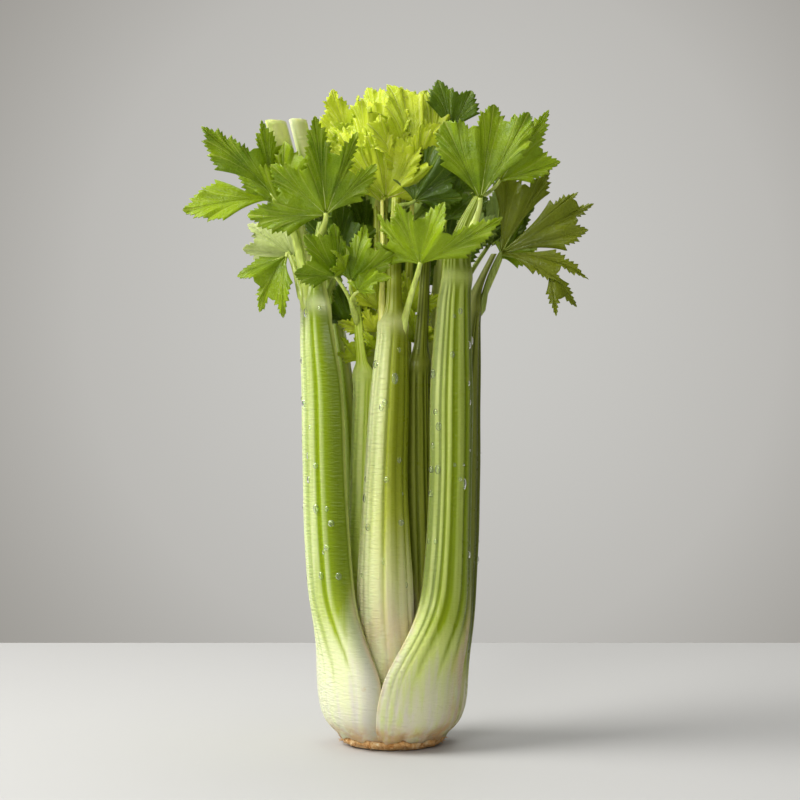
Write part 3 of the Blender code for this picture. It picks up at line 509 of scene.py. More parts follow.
def crescent_outline(spec, z, t, inside):
    """The free stalk, whose section is a crescent that opens inwards."""
    x, y, facing, half, curl, wall = along(spec["keys"], z)
    out = np.array([math.cos(math.radians(facing)), math.sin(math.radians(facing))])
    across = np.array([-out[1], out[0]])
    depth = -curl * np.abs(t) ** 2.2
    if inside:
        depth = depth - wall * np.sqrt(1 - t * t) - LEAST_WALL
    return np.array([x, y]) + depth[:, None] * out + (half * t)[:, None] * across


def outline(spec, z, t, inside):
    free = ease(*FREE_FROM[spec["layer"]], z)
    return shell_outline(spec, z, t, inside) * (1 - free) + crescent_outline(spec, z, t, inside) * free


# ---------------------------------------------------------------- meshes

def new_object(name, data):
    obj = bpy.data.objects.new(name, data)
    bpy.context.scene.collection.objects.link(obj)
    return obj


class Shape:
    """Points in millimetres, faces, materials of faces and point values, gathered piece by piece."""

    def __init__(self, *keys):
        self.points = []
        self.faces = []
        self.indices = []
        self.layers = {key: [] for key in keys}

    def add_points(self, points, **values):
        self.points += [tuple(p) for p in points]
        for key, store in self.layers.items():
            given = values.get(key, 0)
            store += list(given) if np.ndim(given) else [given] * len(points)

    def add_faces(self, faces, index):
        self.faces += faces
        self.indices += [index] * len(faces)

    def add(self, points, faces, index=0, **values):
        start = len(self.points)
        self.add_points(points, **values)
        self.add_faces([tuple(start + i for i in face) for face in faces], index)

    def build(self, name, materials, node=None):
        """The object, with its materials and named point values. It stands for the CAD node of that name."""
        mesh = bpy.data.meshes.new(name)
        mesh.from_pydata((np.asarray(self.points) * MM).tolist(), [], self.faces)
        for material in materials:
            mesh.materials.append(material)
        mesh.polygons.foreach_set("material_index", np.asarray(self.indices, np.int32))
        for key, values in self.layers.items():
            layer = mesh.attributes.new(key, "FLOAT", "POINT")
            layer.data.foreach_set("value", np.asarray(values, np.float32))
        mesh.shade_smooth()
        mesh.validate()
        obj = new_object(name, mesh)
        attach(obj, "root")
        if node:
            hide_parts(node)
        return obj


def grid_faces(rows, columns, wrap=False, flip=False):
    faces = []
    for i in range(rows - 1):
        for j in range(columns if wrap else columns - 1):
            k = (j + 1) % columns
            face = (i * columns + j, i * columns + k, (i + 1) * columns + k, (i + 1) * columns + j)
            faces.append(face[::-1] if flip else face)
    return faces


def closed_faces(rows, columns):
    """A tube of rings, with both ends closed."""
    last = (rows - 1) * columns
    ends = [tuple(range(columns))[::-1], tuple(range(last, last + columns))]
    return grid_faces(rows, columns, wrap=True) + ends


def tube(shape, centres, radii, index, sides, groove=None, **values):
    """A closed tube along the centres. A groove runs along the side that faces that way."""
    centres = np.asarray(centres, float)
    ahead = np.gradient(centres, axis=0)
    ahead /= np.linalg.norm(ahead, axis=1)[:, None]
    side = np.cross(ahead[0], (0, 0, 1) if abs(ahead[0][2]) < 0.9 else (0, 1, 0))
    points = []
    for centre, way, radius in zip(centres, ahead, radii):
        side = unit(side - way * side.dot(way))
        up = np.cross(side, way)
        for k in range(sides):
            turn = 2 * math.pi * k / sides
            arm = side * math.cos(turn) + up * math.sin(turn)
            dent = GROOVE_DEPTH * max(0, float(arm.dot(groove))) ** 6 if groove is not None else 0
            points.append(centre + arm * radius * (1 - dent))
    shape.add(points, closed_faces(len(centres), sides), index, **values)


# ---------------------------------------------------------------- materials

class Graph:
    """Short ways to make and join shader nodes."""

    def __init__(self, name):
        self.material = bpy.data.materials.new(name)
        self.material.use_nodes = True
        self.tree = self.material.node_tree
        self.tree.nodes.clear()
        self.place = self.node("TexCoord").outputs["Object"]

    def node(self, kind, sockets=None, **settings):
        made = self.tree.nodes.new("ShaderNode" + kind)
        for key, value in settings.items():
            setattr(made, key, value)
        for key, value in (sockets or {}).items():
            if isinstance(value, bpy.types.NodeSocket):
                self.tree.links.new(value, made.inputs[key])
            elif value is not None:
                made.inputs[key].default_value = value
        return made

    def value(self, key):
        return self.node("Attribute", attribute_name=key).outputs["Fac"]

    def math(self, operation, a, b, clamp=False):
        return self.node("Math", {0: a, 1: b}, operation=operation, use_clamp=clamp).outputs[0]

    def times(self, a, b, clamp=False):
        return self.math("MULTIPLY", a, b, clamp)

    def plus(self, a, b):
        return self.math("ADD", a, b)

    def rest_of(self, a):
        return self.math("SUBTRACT", 1.0, a, clamp=True)

    def span(self, value, low, high, to_low=0.0, to_high=1.0):
        sockets = {"Value": value, "From Min": low, "From Max": high, "To Min": to_low, "To Max": to_high}
        return self.node("MapRange", sockets, interpolation_type="SMOOTHSTEP").outputs[0]

    def blend(self, factor, a, b):
        """From colour a to colour b, as far as the factor says. Each is a socket or three numbers."""
        a, b = [(*c, 1) if isinstance(c, tuple) else c for c in (a, b)]
        return self.node("Mix", {0: factor, 6: a, 7: b}, data_type="RGBA").outputs[2]

    def ramp(self, factor, *stops):
        made = self.node("ValToRGB", {"Fac": factor})
        stop_list = made.color_ramp.elements
        while len(stop_list) < len(stops):
            stop_list.new(0.5)
        for element, (place, colour) in zip(stop_list, stops):
            element.position = place
            element.color = (*colour, 1)
        return made.outputs["Color"]

    def noise(self, scale, detail=3.0, stretch=(1, 1, 1), rough=0.55):
        moved = self.node("Mapping", {"Vector": self.place, "Scale": stretch}).outputs[0]
        sockets = {"Vector": moved, "Scale": scale, "Detail": detail, "Roughness": rough}
        return self.node("TexNoise", sockets).outputs[0]

    def bump(self, height, strength, distance, normal=None):
        """Relief of so many metres, over the relief that the normal already holds."""
        sockets = {"Height": height, "Strength": strength, "Distance": distance, "Normal": normal}
        return self.node("Bump", sockets).outputs[0]

    def surface(self, colour, rough, normal=None, **more):
        """The main shader. Further sockets are given by name, with _ for each space."""
        sockets = {"Base Color": colour, "Roughness": rough, "Normal": normal}
        for key, value in more.items():
            sockets[key.replace("_", " ")] = value
        return self.node("BsdfPrincipled", sockets).outputs[0]

    def finish(self, surface):
        self.node("OutputMaterial", {"Surface": surface})
        return self.material


def scaled(colour, by, lift=0.0):
    return tuple(min(1.0, by * c + lift) for c in colour)


def stalk_material(look):
    """Moist ribbed flesh: white at the base, greener with height and sooner in the grooves, with painted
    shade deepening the grooves, painted highlights paling the ribs and the lit side, and painted shade on the
    far side.
    """
    white, pale, mid, full = STALK_LOOKS[look]
    g = Graph("stalk_" + look)
    streaks = g.noise(260, 4, (1, 1, 0.035))
    broad = g.noise(46, 3, (1, 1, 0.2))
    rib, raw, dark, glow = g.value("rib"), g.value("green"), g.value("dark"), g.value("glow")
    # The green starts streaky, and later on the ribs than between them.
    green = g.plus(raw, g.times(g.math("SUBTRACT", streaks, 0.5), 0.5))
    green = g.plus(green, g.times(g.math("SUBTRACT", broad, 0.5), 0.25))
    middle = g.times(g.times(raw, g.math("SUBTRACT", 1.0, raw)), 4.0)
    green = g.math("SUBTRACT", green, g.times(g.times(rib, middle), 0.22), clamp=True)
    colour = g.ramp(green, (0.0, white), (0.25, pale), (0.6, mid), (1.0, full))
    # Painted shade: the grooves are painted deeper green. Painted highlight: the rib crests are painted
    # paler, apart from on the shaded side.
    colour = g.blend(g.times(g.rest_of(rib), g.span(green, 0.1, 0.8, 0.08, 0.46)), colour, scaled(full, 0.5))
    crest = g.times(g.span(rib, 0.55, 1.0), g.span(streaks, 0.3, 0.7, 0.25, 0.65))
    colour = g.blend(g.times(crest, g.math("POWER", g.rest_of(dark), 2.0)), colour, pale)
    # A painted highlight on the pale, lit left side, painted shade on the far side, then the paler collar and
    # the inner face.
    streaky = g.times(glow, g.span(streaks, 0.3, 0.7, 0.7, 1.2), clamp=True)
    colour = g.blend(streaky, colour, (0.82, 0.89, 0.54))
    colour = g.blend(dark, colour, scaled(full, 0.34))
    colour = g.blend(g.times(g.value("joint"), 0.42), colour, pale)
    colour = g.blend(g.value("inner"), colour, (0.62, 0.66, 0.22))
    # Tan stains low down, and scattered scars.
    stain = g.times(g.value("tan"), g.span(g.noise(120, 4, (1, 1, 0.4)), 0.3, 0.62))
    colour = g.blend(stain, colour, (0.60, 0.36, 0.15))
    scar = g.times(g.span(g.noise(90, 5), 0.64, 0.76), g.span(green, 0.05, 0.5, 0.5, 0.1))
    colour = g.blend(scar, colour, (0.55, 0.40, 0.17))
    # Fine lines run along the stalk, and wrinkles across its pale side.
    relief = g.bump(g.noise(1500, 2, (1, 1, 0.03)), 0.35, 0.0003)
    wrinkles = g.times(g.noise(800, 1, (0.26, 0.26, 1)), g.plus(glow, 0.3))
    relief = g.bump(wrinkles, 0.9, 0.0013, relief)
    rough = g.span(g.noise(160, 3), 0.3, 0.7, 0.26, 0.42)
    return g.finish(g.surface(
        colour, rough, relief, Subsurface_Weight=0.15, Subsurface_Radius=FLESH_DEPTHS, Subsurface_Scale=0.004,
        Coat_Weight=0.09, Coat_Roughness=0.12, Specular_IOR_Level=0.14))


def flesh_material():
    """The cut end of a stalk: pale and wet, with greener strands."""
    g = Graph("cut_flesh")
    strands = g.times(g.span(g.noise(700, 2), 0.5, 0.66), 0.5)
    colour = g.blend(strands, (0.72, 0.80, 0.42), (0.42, 0.56, 0.12))
    return g.finish(g.surface(colour, 0.3, g.bump(g.noise(900, 3), 0.4, 0.0004)))


def leaf_material(look, side):
    """A thin blade with pale veins, that lets light through. The under side is duller and paler."""
    deep, light, vein_colour, _ = LEAF_LOOKS[look]
    if side == "under":
        deep, light = [tuple(0.66 * c + 0.34 * w for c, w in zip(tone, UNDER_TINT)) for tone in (deep, light)]
    g = Graph(f"leaf_{look}_{side}")
    vein = g.value("vein")
    patch = g.plus(g.noise(55, 4), g.times(g.value("tone"), 0.5))
    patch = g.plus(patch, g.times(g.value("rim"), 0.08))
    colour = g.blend(g.span(patch, 0.45, 1.1), deep, light)
    # A net of the finest veins, and the main veins over it.
    cells = g.node("TexVoronoi", {"Vector": g.place, "Scale": 800.0}, feature="DISTANCE_TO_EDGE").outputs[0]
    colour = g.blend(g.span(cells, 0.0, 0.14, 0.16, 0.0), colour, vein_colour)
    colour = g.blend(g.span(vein, 0.25, 0.95, 0.0, 0.66), colour, vein_colour)
    relief = g.bump(vein, 0.6, -0.0004 if side == "upper" else 0.0005)
    relief = g.bump(cells, 0.35, 0.0004, relief)
    relief = g.bump(g.noise(170, 3), 0.55, 0.0022, relief)
    rough = g.span(g.noise(200, 3), 0.3, 0.7, 0.26, 0.38) if side == "upper" else 0.6
    surface = g.surface(colour, rough, relief, Specular_IOR_Level=0.32)
    shine_through = g.blend(0.45, colour, (0.50, 0.60, 0.01))
    through = g.node("BsdfTranslucent", {"Color": shine_through, "Normal": relief}).outputs[0]
    return g.finish(g.node("MixShader", {0: 0.38, 1: surface, 2: through}).outputs[0])


def petiole_material(look):
    """The stem and the main ribs of a leaf, with pale streaks along them."""
    stem = LEAF_LOOKS[look][3]
    g = Graph("petiole_" + look)
    streaks = g.noise(500, 3, (1, 1, 0.08))
    colour = g.blend(g.span(streaks, 0.35, 0.7), stem, scaled(stem, 1.4, 0.04))
    return g.finish(g.surface(
        colour, 0.36, g.bump(streaks, 0.3, 0.0003), Coat_Weight=0.15, Subsurface_Weight=0.12,
        Subsurface_Radius=FLESH_DEPTHS, Subsurface_Scale=0.002))


def crown_material():
    """Dry, fibrous root tissue: tan, with rusty patches and dark pits."""
    g = Graph("root_crown")
    fibres = g.noise(420, 5, (1, 1, 0.5), 0.7)
    colour = g.ramp(
        fibres, (0.28, (0.22, 0.08, 0.02)), (0.42, (0.60, 0.30, 0.09)), (0.56, (0.84, 0.60, 0.30)),
        (0.72, (0.92, 0.84, 0.64)))
    colour = g.blend(g.span(g.noise(120, 4), 0.4, 0.66, 0.0, 0.5), colour, (0.62, 0.30, 0.07))
    return g.finish(g.surface(colour, 0.86, g.bump(fibres, 0.9, 0.0012)))


def water_material():
    g = Graph("water_drops")
    ripple = g.bump(g.noise(300, 2), 0.05, 0.0002)
    return g.finish(g.surface((0.93, 1.0, 0.82, 1), 0.03, ripple, IOR=1.33, Transmission_Weight=0.93))


def table_material():
    g = Graph("table_top")
    tint = g.blend(g.span(g.noise(3, 2), 0.3, 0.7, 0.0, 0.04), TABLE_GREY, scaled(TABLE_GREY, 0.8))
    return g.finish(g.surface(tint, 0.6, Specular_IOR_Level=0.2))


def backdrop_material():
    """A grey backdrop that glows by itself, with a painted pool of light in its middle and darker edges."""
    g = Graph("backdrop")
    sockets = {"Vector": g.place, "Location": (-0.04, 0, -0.30), "Scale": (1, 0, 1)}
    moved = g.node("Mapping", sockets).outputs[0]
    away = g.node("VectorMath", {0: moved}, operation="LENGTH").outputs["Value"]
    colour = g.ramp(
        g.span(away, 0.0, 0.85), (0.0, (0.585, 0.58, 0.555)), (0.45, (0.50, 0.49, 0.465)),
        (1.0, (0.27, 0.255, 0.23)))
    return g.finish(g.node("Emission", {"Color": colour, "Strength": 1.0}).outputs[0])


# ---------------------------------------------------------------- stalks

def band(spec, key, way):
    """The share of a painted band (the painted shade and the painted highlight each have one), and how far it
    has risen at each place round the stalk.
    """
    start, end, share = spec.get(key, DEFAULT_BANDS[key])
    return share, ease(start, end, way)


def close_top(shape, count):
    """Closes the top end of a stalk to a slightly hollow middle, in cut flesh."""
    rim = list(range(len(shape.points) - count, len(shape.points)))
    edge = np.array([shape.points[k] for k in rim])
    middle = edge.mean(axis=0)
    for share, drop in HOLLOW_END:
        ring = list(range(len(shape.points), len(shape.points) + count))
        shape.add_points(middle + (edge - middle) * share - (0, 0, drop), rib=0.5, green=0.5)
        around = [(k, (k + 1) % count) for k in range(count)]
        shape.add_faces([(rim[k], rim[j], ring[j], ring[k]) for k, j in around], 1)
        rim = ring
    shape.add_faces([tuple(rim)], 1)


def build_stalk(name, spec, seed, materials):
    shape = Shape("rib", "green", "inner", "joint", "tan", "dark", "glow")
    collar = spec.get("collar")
    low, high = spec["pale"]
    top = spec["keys"][-1][0]
    heights = np.linspace(BASE_Z, top, int((top - BASE_Z) / RING_STEP))
    # The points go round the outside at even distances, as they lie on the free stalk.
    trial = np.linspace(-1, 1, 400)
    run = distances(outline(spec, EVEN_Z, trial, False))
    way = np.linspace(-1, 1, OUT_POINTS)
    edge = np.abs(way)
    t_out = np.interp((way + 1) / 2 * run[-1], run, trial)
    t_in = np.linspace(INNER_REACH, -INNER_REACH, IN_POINTS)
    # Ribs of uneven width, left out at the smooth edges.
    phase = spec["ribs"] * (way + 1) / 2
    phase = phase + 0.34 * np.sin(3.1 * way + seed) + 0.16 * np.sin(8.3 * way + 2 * seed)
    rib = 1 - np.abs(2 * (phase - np.floor(phase)) - 1) ** 2.3
    fine = 0.5 + 0.5 * np.cos(2 * math.pi * 3 * phase)
    left, right = spec.get("smooth", (-0.9, 0.9))
    ribbed = ease(left - 0.16, left + 0.04, way) * (1 - ease(right - 0.04, right + 0.16, way))
    crest = rib * ribbed + 0.55 * (1 - ribbed)
    # Painted shade darkens the right side, and a painted highlight pales the lit left side.
    dark_share, dark = band(spec, "dark", way)
    glow_share, glow = band(spec, "glow", way)
    for z in heights:
        outer = outline(spec, z, t_out, False)
        inner = outline(spec, z, t_in, True)
        tangent = np.gradient(outer, axis=0)
        normal = np.stack([tangent[:, 1], -tangent[:, 0]], 1)
        normal /= np.linalg.norm(normal, axis=1)[:, None]
        slim = min(1, along(spec["keys"], z)[3] / FULL_HALF_WIDTH)
        depth = (RIB_DEPTH + RIB_DEPTH_GAIN * ease(*RIB_GAIN_HEIGHTS, z)) * slim
        joint, below = 0, 1
        if collar:
            depth *= 1 - 0.8 * ease(collar - 14, collar + 2, z)
            joint = math.exp(-(((z - collar) / COLLAR_WIDTH) ** 2))
            below = 1 - ease(collar - 2, collar + 8, z)
        lumps = LUMP_SIZE * wander(seed, z / 17.0, 2.2 * t_out) * slim
        height = depth * ribbed * (rib - 1 + FINE_RIB_SHARE * fine) + lumps + COLLAR_RISE * joint
        outer = outer + normal * height[:, None]
        sag = RIM_SAG * wander(seed, 9 * way) * (1 - ease(*RIM_HEIGHTS, z))
        # How green and tan this ring is, and how much painted shade and painted highlight it carries.
        rise = ease(low, high, z - 40 * edge**3 * (1 - ease(60, 130, z)) + 5 * wander(seed, 3 * way))
        full = ease(low, high, z)
        bleach = 1 if collar else 1 - 0.62 * ease(top - BLEACH_LENGTH, top - 2, z)
        tan = 0.4 * ease(0.86, 1.0, edge) + 0.4 * spec["layer"]
        tan = (tan + spec.get("stain", 0) * ease(0.2, 0.85, way)) * (1 - ease(*TAN_HEIGHTS, z))
        tan = np.clip(tan + 0.8 * (1 - ease(*RIM_TAN_HEIGHTS, z)), 0, 1)
        shape.add_points(
            np.column_stack([outer, z + sag]), rib=crest * (1 - 0.5 * joint), green=rise * bleach,
            joint=joint, tan=tan, dark=dark_share * dark * (0.35 + 0.65 * full),
            glow=glow_share * (1 - glow) * below)
        # The inner face: paler, with a little painted shade.
        shape.add_points(
            np.column_stack([inner, np.full(IN_POINTS, z)]), rib=0.5, green=0.6 * full * bleach, inner=0.75,
            joint=joint, dark=0.2)
    count = OUT_POINTS + IN_POINTS
    shape.add_faces(grid_faces(len(heights), count, wrap=True), 0)
    shape.add_faces([tuple(range(count))[::-1]], 0)
    close_top(shape, count)
    return shape.build(name + "_ribbed", materials, name)


def build_heart_stalk(name, keys, seed, material):
    """A thin round stalk, which wanders a little and has a few ribs."""
    shape = Shape("rib", "green")
    heights = np.linspace(keys[0][0], keys[-1][0], HEART_RINGS)
    centres, radii = [], []
    for z in heights:
        x, y, radius = along(keys, z)
        centres.append((x + 0.4 * wander(seed, z / 23), y + 0.4 * wander(seed + 2, z / 19), z))
        radii.append(radius)
    ribs = 0.5 + 0.5 * np.cos(np.arange(HEART_SIDES) * 2 * math.pi / 4)
    greens = 0.75 * ease(50, 260, heights)
    tube(shape, centres, radii, 0, HEART_SIDES,
         rib=np.tile(ribs, HEART_RINGS), green=np.repeat(greens, HEART_SIDES))
    shape.build(name + "_stem", [material], name)


# ---------------------------------------------------------------- leaves

def lobe_side(length, reach, floor, width, pitch, roundness):
    """One side of a lobe, from its tip to its end, as rows of numbers: the toothed edge and the line just
    inside it, each as a distance ahead and aside, how strong a vein is there, and the share of the way."""
    x = np.linspace(0, 1, 160)
    radius = length / (1 / reach + (1 / floor - 1 / reach) * x**roundness)
    curve = np.stack([radius * np.cos(width * x), radius * np.sin(width * x)], 1)
    run = distances(curve)

    def at(where):
        return np.array([np.interp(where, run, curve[:, 0]), np.interp(where, run, curve[:, 1])])

    found = []
    teeth = max(3, round(run[-1] / pitch))
    for tooth in range(teeth):
        for part in TOOTH_PARTS:
            where = (tooth + part) / teeth * run[-1]
            spot = at(where)
            out = np.array([1.0, 0.0])
            if tooth + part > 0:
                step = unit(at(where + 0.8) - at(where - 0.8))
                out = np.array([step[1], -step[0]])
            # Every third tooth stands out as the point of a coarser one.
            coarse = min(COARSE_DEPTH * length * ((tooth + part) % 3) / 3, 0.3 * spot[1])
            depth = min(TOOTH_DEPTH * pitch / TOOTH_PITCH, 0.30 * spot[1] + 0.12)
            rim = spot - out * (coarse + depth * part / TOOTH_PARTS[-1])
            inside = spot - out * (coarse + 1.45 * depth)
            vein = 0.0
            if part == 0:
                vein = 1.0 if tooth == 0 else 0.75 if tooth % 3 == 0 else 0.32
            found.append((*rim, *inside, vein, where / run[-1]))
    found.append((*curve[-1], *(0.97 * curve[-1]), 0.0, 1.0))
    return found


def column_of(spec, entry, lobe, sign, outer, tilt, droop):
    """Where one column of a blade runs: its distance ahead, aside and lift in each row."""
    edge_a, edge_b, in_a, in_b, vein, way = entry
    length, angle = spec["length"], math.radians(lobe[0])
    # It starts along the middle vein of its lobe, and bends over to its place at the rim.
    bend = max(in_a - 1.3 * in_b, 0.12 * length) * 0.86
    pull = 0 if outer else way**2.5
    turn_a = bend * (1 - pull) + in_a * 0.5 * pull
    turn_b = in_b * 0.5 * pull
    a = 2 * (1 - ROW_SHARES) * ROW_SHARES * turn_a + ROW_SHARES**2 * in_a
    b = 2 * (1 - ROW_SHARES) * ROW_SHARES * turn_b + ROW_SHARES**2 * in_b + 0.5 * way * (1 - ROW_SHARES) ** 2
    a, b = np.append(a, edge_a), np.append(b, edge_b)
    ahead = a * math.cos(angle) - sign * b * math.sin(angle)
    aside = a * math.sin(angle) + sign * b * math.cos(angle)
    # The lift off the plane of the blade: its arch and cup, the lobe's own tilt and droop, and the vein.
    q = np.clip(ahead / length, 0, 1)
    lift = spec["arch"] * 4 * q * (1 - q) * length - spec["cup"] * aside**2 / length
    lift = lift + 0.22 * b + tilt * sign * b - droop * (a / length) ** 2 * length
    lift = lift + np.append(ROW_SHARES, 1) * (0.11 * (0.25 - vein) * min(1.0, length / 30))
    if vein == 1.0:
        lift = lift - 0.12
    return np.stack([ahead, aside, lift], 1)


def blade_columns(spec, chance):
    """All columns of a blade, from one side to the other, and the strength of the vein in each."""
    lobes = spec["lobes"]
    tilts = chance.uniform(-LOBE_TILT, LOBE_TILT, len(lobes))
    droops = chance.uniform(*LOBE_DROOP, len(lobes))
    columns, veins = [], []
    for k, lobe in enumerate(lobes):
        angle, reach, half = lobe
        sides = {}
        for sign in (-1, 1):
            outer = not 0 <= k + sign < len(lobes)
            if outer:
                width, floor = half, spec.get("shoulder", 0.56) * reach
            else:
                other = lobes[k + sign]
                width = abs(other[0] - angle) * half / (half + other[2])
                floor = spec["notch"] * min(reach, other[1])
            entries = lobe_side(
                spec["length"], reach, floor, math.radians(width), spec.get("pitch", TOOTH_PITCH),
                spec.get("round", 1.5))
            sides[sign] = [
                (column_of(spec, entry, lobe, sign, outer, tilts[k], droops[k]), entry[4])
                for entry in entries]
        run = sides[-1][::-1] + sides[1][1:]
        if columns:
            # Two lobes meet in one column.
            columns[-1] = 0.5 * (columns[-1] + run[0][0])
            run = run[1:]
        columns += [rows for rows, _ in run]
        veins += [vein for _, vein in run]
    return np.array(columns), np.array(veins)


def build_blade(shape, spec, seed):
    # A blade in shade takes the painted shade materials.
    paint = PAINTED_SHADE_PAINTS if spec.get("dark") else 0
    foot, tip, face = (np.array(spec[key], float) for key in ("foot", "tip", "face"))
    length = np.linalg.norm(tip - foot)
    axis = (tip - foot) / length
    normal = unit(face - axis * face.dot(axis))
    side = np.cross(axis, normal)
    grid, veins = blade_columns(dict(spec, length=length), np.random.default_rng(int(seed * 100)))
    # The rim ruffles, and the whole blade swells a little.
    walk = distances(grid[:, -2, :2])
    wave = np.sin(walk * 0.44 + seed) + 0.6 * np.sin(walk * 0.81 + 2.2 * seed)
    outwards = np.append(ROW_SHARES, 1.03)
    grid[:, :, 2] += spec["ruffle"] * 0.66 * wave[:, None] * outwards[None, :] ** 4.2
    swell = wander(seed, grid[:, :, 0] / 6.0, grid[:, :, 1] / 5.0 + 1.0)
    grid[:, :, 2] += SWELL * length * swell * outwards[None, :]
    points = foot + grid[:, :, :1] * axis + grid[:, :, 1:2] * side + grid[:, :, 2:] * normal
    points = points.transpose(1, 0, 2)
    rows, wide = points.shape[:2]
    mains = np.flatnonzero(veins == 1.0)
    vein_values = np.outer(np.append(ease(0.1, 0.4, ROW_SHARES), 1), veins)
    vein_values[:, mains] = np.linspace(1.6, 1.0, rows)[:, None]
    tone = spec.get("tone", 0.5)
    values = dict(vein=vein_values.reshape(-1), rim=np.repeat(np.append(ROW_SHARES, 1.1), wide), tone=tone)
    # The upper side, the under side, and the thin edge that joins them.
    flat = points.reshape(-1, 3)
    start, under = len(shape.points), rows * wide
    shape.add(flat + normal * BLADE_HALF_THICKNESS, grid_faces(rows, wide), paint, **values)
    shape.add(flat - normal * BLADE_HALF_THICKNESS, grid_faces(rows, wide, flip=True), paint + 1, **values)
    loop = list(range(wide)) + [i * wide + wide - 1 for i in range(1, rows)]
    loop += [(rows - 1) * wide + j for j in range(wide - 2, -1, -1)]
    loop += [i * wide for i in range(rows - 2, 0, -1)]
    ahead = loop[1:] + loop[:1]
    edges = [(start + a, start + under + a, start + under + b, start + b) for a, b in zip(loop, ahead)]
    shape.add_faces(edges, paint + 1)
    for column in mains:
        path = points[:-2, column] - normal * VEIN_SINK
        radii = np.linspace(*VEIN_RADII, len(path)) * min(1.15, 0.35 + length / 50)
        tube(shape, path, radii, paint + 2, 6, tone=tone)


def build_leaf(name, spec, seed, materials):
    shape = Shape("vein", "rim", "tone")
    start = np.array(spec["start"], float)
    foot, tip, face = (np.array(spec["blades"][0][key], float) for key in ("foot", "tip", "face"))
    axis = unit(tip - foot)
    distance = np.linalg.norm(foot - start)
    rise = unit((foot - start) / distance + np.array((0, 0, 0.6)))
    # The petiole leaves its stalk upwards, and runs on into the first blade.
    first, last = start + rise * distance * 0.4, foot - axis * distance * 0.35
    end = foot + axis * 1.2
    centres, radii = [], []
    for t in np.linspace(0, 1, 26):
        centres.append(
            start * (1 - t) ** 3 + first * 3 * t * (1 - t) ** 2 + last * 3 * t * t * (1 - t) + end * t**3)
        radii.append(spec["petiole"] * (0.5 + 0.75 * ease(0, 0.08, t) - 0.25 * ease(0.14, 0.4, t) - 0.42 * t))
    tube(shape, centres, radii, 2, 14, groove=unit(face))
    for k, blade_spec in enumerate(spec["blades"]):
        build_blade(shape, blade_spec, seed + 3.7 * k)
    shape.build(name + "_veined", materials, name)


# ---------------------------------------------------------------- crown and water

def build_crown(material):
    """The cut disc, uneven at its rim, with dry flecks where the stalks were trimmed."""
    shape = Shape()
    points = []
    for level, (radius, z) in enumerate(CROWN_PROFILE):
        for k in range(CROWN_SIDES):
            turn = 2 * math.pi * k / CROWN_SIDES
            rough = 0
            if radius > ROUGH_FROM:
                rough = 0.55 * wander(level * 0.6, 9 * turn) + 0.5 * wander(level * 0.9 + 4, 23 * turn)
            lift = 0.7 * wander(level + 2, 14 * turn) if 1 < z < 7 else 0
            reach = radius + rough
            points.append((reach * math.cos(turn), reach * math.sin(turn), z + lift))
    shape.add(points, closed_faces(len(CROWN_PROFILE), CROWN_SIDES))
    chance = np.random.default_rng(11)
    up = np.array((0, 0, 1))
    count = len(FLECK)
    for _ in range(FLECKS):
        turn = chance.uniform(0, 2 * math.pi)
        out = np.array((math.cos(turn), math.sin(turn), 0))
        round_rim = np.array((-out[1], out[0], 0))
        place = out * chance.uniform(27.4, 29.2) + up * chance.uniform(1.4, 6.6)
        reach, wide = chance.uniform(0.8, 3.2), chance.uniform(0.8, 2.4)
        lean = chance.uniform(-0.5, 0.5)
        upper = [
            place + round_rim * wide * a + out * reach * b * 0.8 + up * lean * reach * b for a, b in FLECK]
        under = [p - up * 0.22 for p in upper]
        sides = [(i, i + count, (i + 1) % count + count, (i + 1) % count) for i in range(count)]
        ends = [tuple(range(count)), tuple(range(2 * count - 1, count - 1, -1))]
        shape.add(upper + under, ends + sides)
    shape.build("root_crown_fibrous", [material], "root_crown")


def build_drops(stalks, material):
    """Beads of water on the outside of the front stalks. They stand for no CAD node."""
    shape = Shape()
    chance = np.random.default_rng(5)
    rings, sides = 5, 12
    faces = grid_faces(rings, sides, wrap=True) + [tuple(range(sides))[::-1]]
    last = (rings - 1) * sides
    faces += [(last + k, last + (k + 1) % sides, last + sides) for k in range(sides)]
    for obj, count, low, high in stalks:
        spots = []
        for vertex in obj.data.vertices:
            if low < vertex.co.z / MM < high and vertex.index % (OUT_POINTS + IN_POINTS) < OUT_POINTS:
                spots.append(vertex)
        for index in chance.choice(len(spots), count, replace=False):
            centre = np.array(spots[int(index)].co) / MM
            out = np.array(spots[int(index)].normal)
            down = unit(np.array((0, 0, -1)) + out * out[2])
            across = np.cross(out, down)
            size = chance.uniform(*DROP_SIZES)
            tall = size * chance.uniform(1.0, 1.8)
            points = []
            for ring in range(rings):
                tilt = 0.5 * math.pi * ring / rings
                rise = out * (DROP_RISE * size * math.sin(tilt) - DROP_SINK)
                for k in range(sides):
                    turn = 2 * math.pi * k / sides
                    flat = across * size * math.cos(turn) + down * tall * math.sin(turn)
                    points.append(centre + flat * math.cos(tilt) + rise)
            points.append(centre + out * (DROP_RISE * size - DROP_SINK))
            shape.add(points, faces)
    shape.build("water_drops", [material])


# ---------------------------------------------------------------- stage, in metres

def plane(name, corners, material):
    mesh = bpy.data.meshes.new(name)
    mesh.from_pydata(corners, [], [(0, 1, 2, 3)])
    mesh.materials.append(material)
    new_object(name, mesh)


def area_light(name, place, target, size, power, colour):
    data = bpy.data.lights.new(name, "AREA")
    data.shape = "DISK"
    data.size = size
    data.energy = power
    data.color = colour
    way = Vector(target) - Vector(place)
    turn = way.to_track_quat("-Z", "Y").to_matrix().to_4x4()
    new_object(name, data).matrix_world = Matrix.Translation(place) @ turn


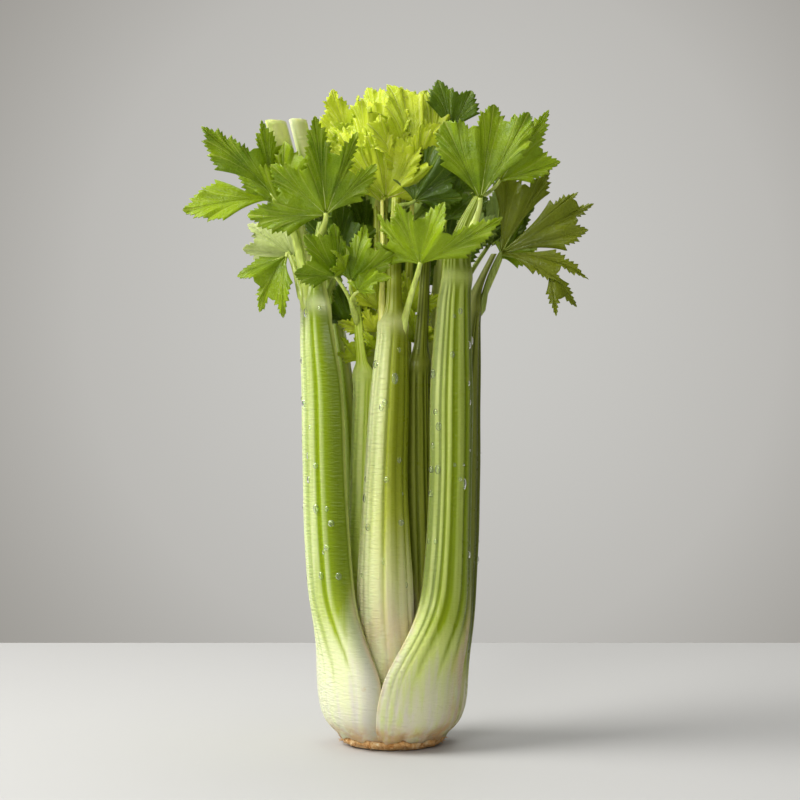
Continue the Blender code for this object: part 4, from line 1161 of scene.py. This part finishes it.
def build_stage():
    plane("table_top", [(-3, -2.2, 0), (3, -2.2, 0), (3, 0.455, 0), (-3, 0.455, 0)], table_material())
    plane("backdrop", [(-4, 1.1, -2), (4, 1.1, -2), (4, 1.1, 4), (-4, 1.1, 4)], backdrop_material())
    area_light("key", (-1.1, -0.26, 1.2), (0, 0, 0.2), 1.1, 31, (1.0, 0.985, 0.955))
    area_light("fill", (1.2, -1.5, 0.7), (0, 0, 0.2), 1.2, 1.6, (0.98, 0.99, 1.0))
    area_light("front", (-0.45, -1.5, 0.75), (0, 0, 0.22), 0.6, 9.5, (1.0, 0.99, 0.97))
    area_light("top", (0.1, 0.2, 1.3), (0, 0, 0.3), 0.9, 6, (1.0, 1.0, 0.98))
    world = bpy.data.worlds.new("studio")
    world.use_nodes = True
    background = world.node_tree.nodes["Background"]
    background.inputs["Color"].default_value = (0.80, 0.795, 0.78, 1)
    background.inputs["Strength"].default_value = 0.17
    bpy.context.scene.world = world
    camera_data = bpy.data.cameras.new("camera")
    camera_data.lens = 87.6
    camera_data.sensor_width = 36
    camera_data.clip_start = 0.01
    camera = new_object("camera", camera_data)
    camera.location = (0.004, -1.1, 0.194)
    camera.rotation_euler = (math.pi / 2, 0, 0)
    bpy.context.scene.camera = camera
    bpy.context.scene.view_settings.view_transform = "Standard"


# ---------------------------------------------------------------- the head

flesh = flesh_material()
stalk_materials = {look: stalk_material(look) for look in STALK_LOOKS}
made = {}
for number, (stalk_name, stalk_spec) in enumerate(STALKS.items()):
    paints = [stalk_materials[stalk_spec["look"]], flesh]
    made[stalk_name] = build_stalk(stalk_name, stalk_spec, 1.0 + 1.37 * number, paints)
for number, (heart_name, heart_keys) in enumerate(HEART.items()):
    build_heart_stalk(heart_name, heart_keys, 3.0 + number, stalk_materials["pale"])

leaf_paints = {}
for look_name in LEAF_LOOKS:
    leaf_paints[look_name] = [
        leaf_material(look_name, "upper"), leaf_material(look_name, "under"), petiole_material(look_name)]
for number, (leaf_name, leaf_spec) in enumerate(LEAVES.items()):
    # Every leaf also carries the painted shade materials, for its blades in shade.
    paints = leaf_paints[leaf_spec["look"]] + leaf_paints["dark"]
    build_leaf(leaf_name, leaf_spec, 2.0 + 0.83 * number, paints)

build_crown(crown_material())
build_drops([
    (made["stalk_front_left"], 26, 90, 245), (made["stalk_front_right"], 22, 90, 250),
    (made["stalk_inner_front"], 16, 90, 230), (made["stalk_right"], 8, 100, 230),
], water_material())
build_stage()
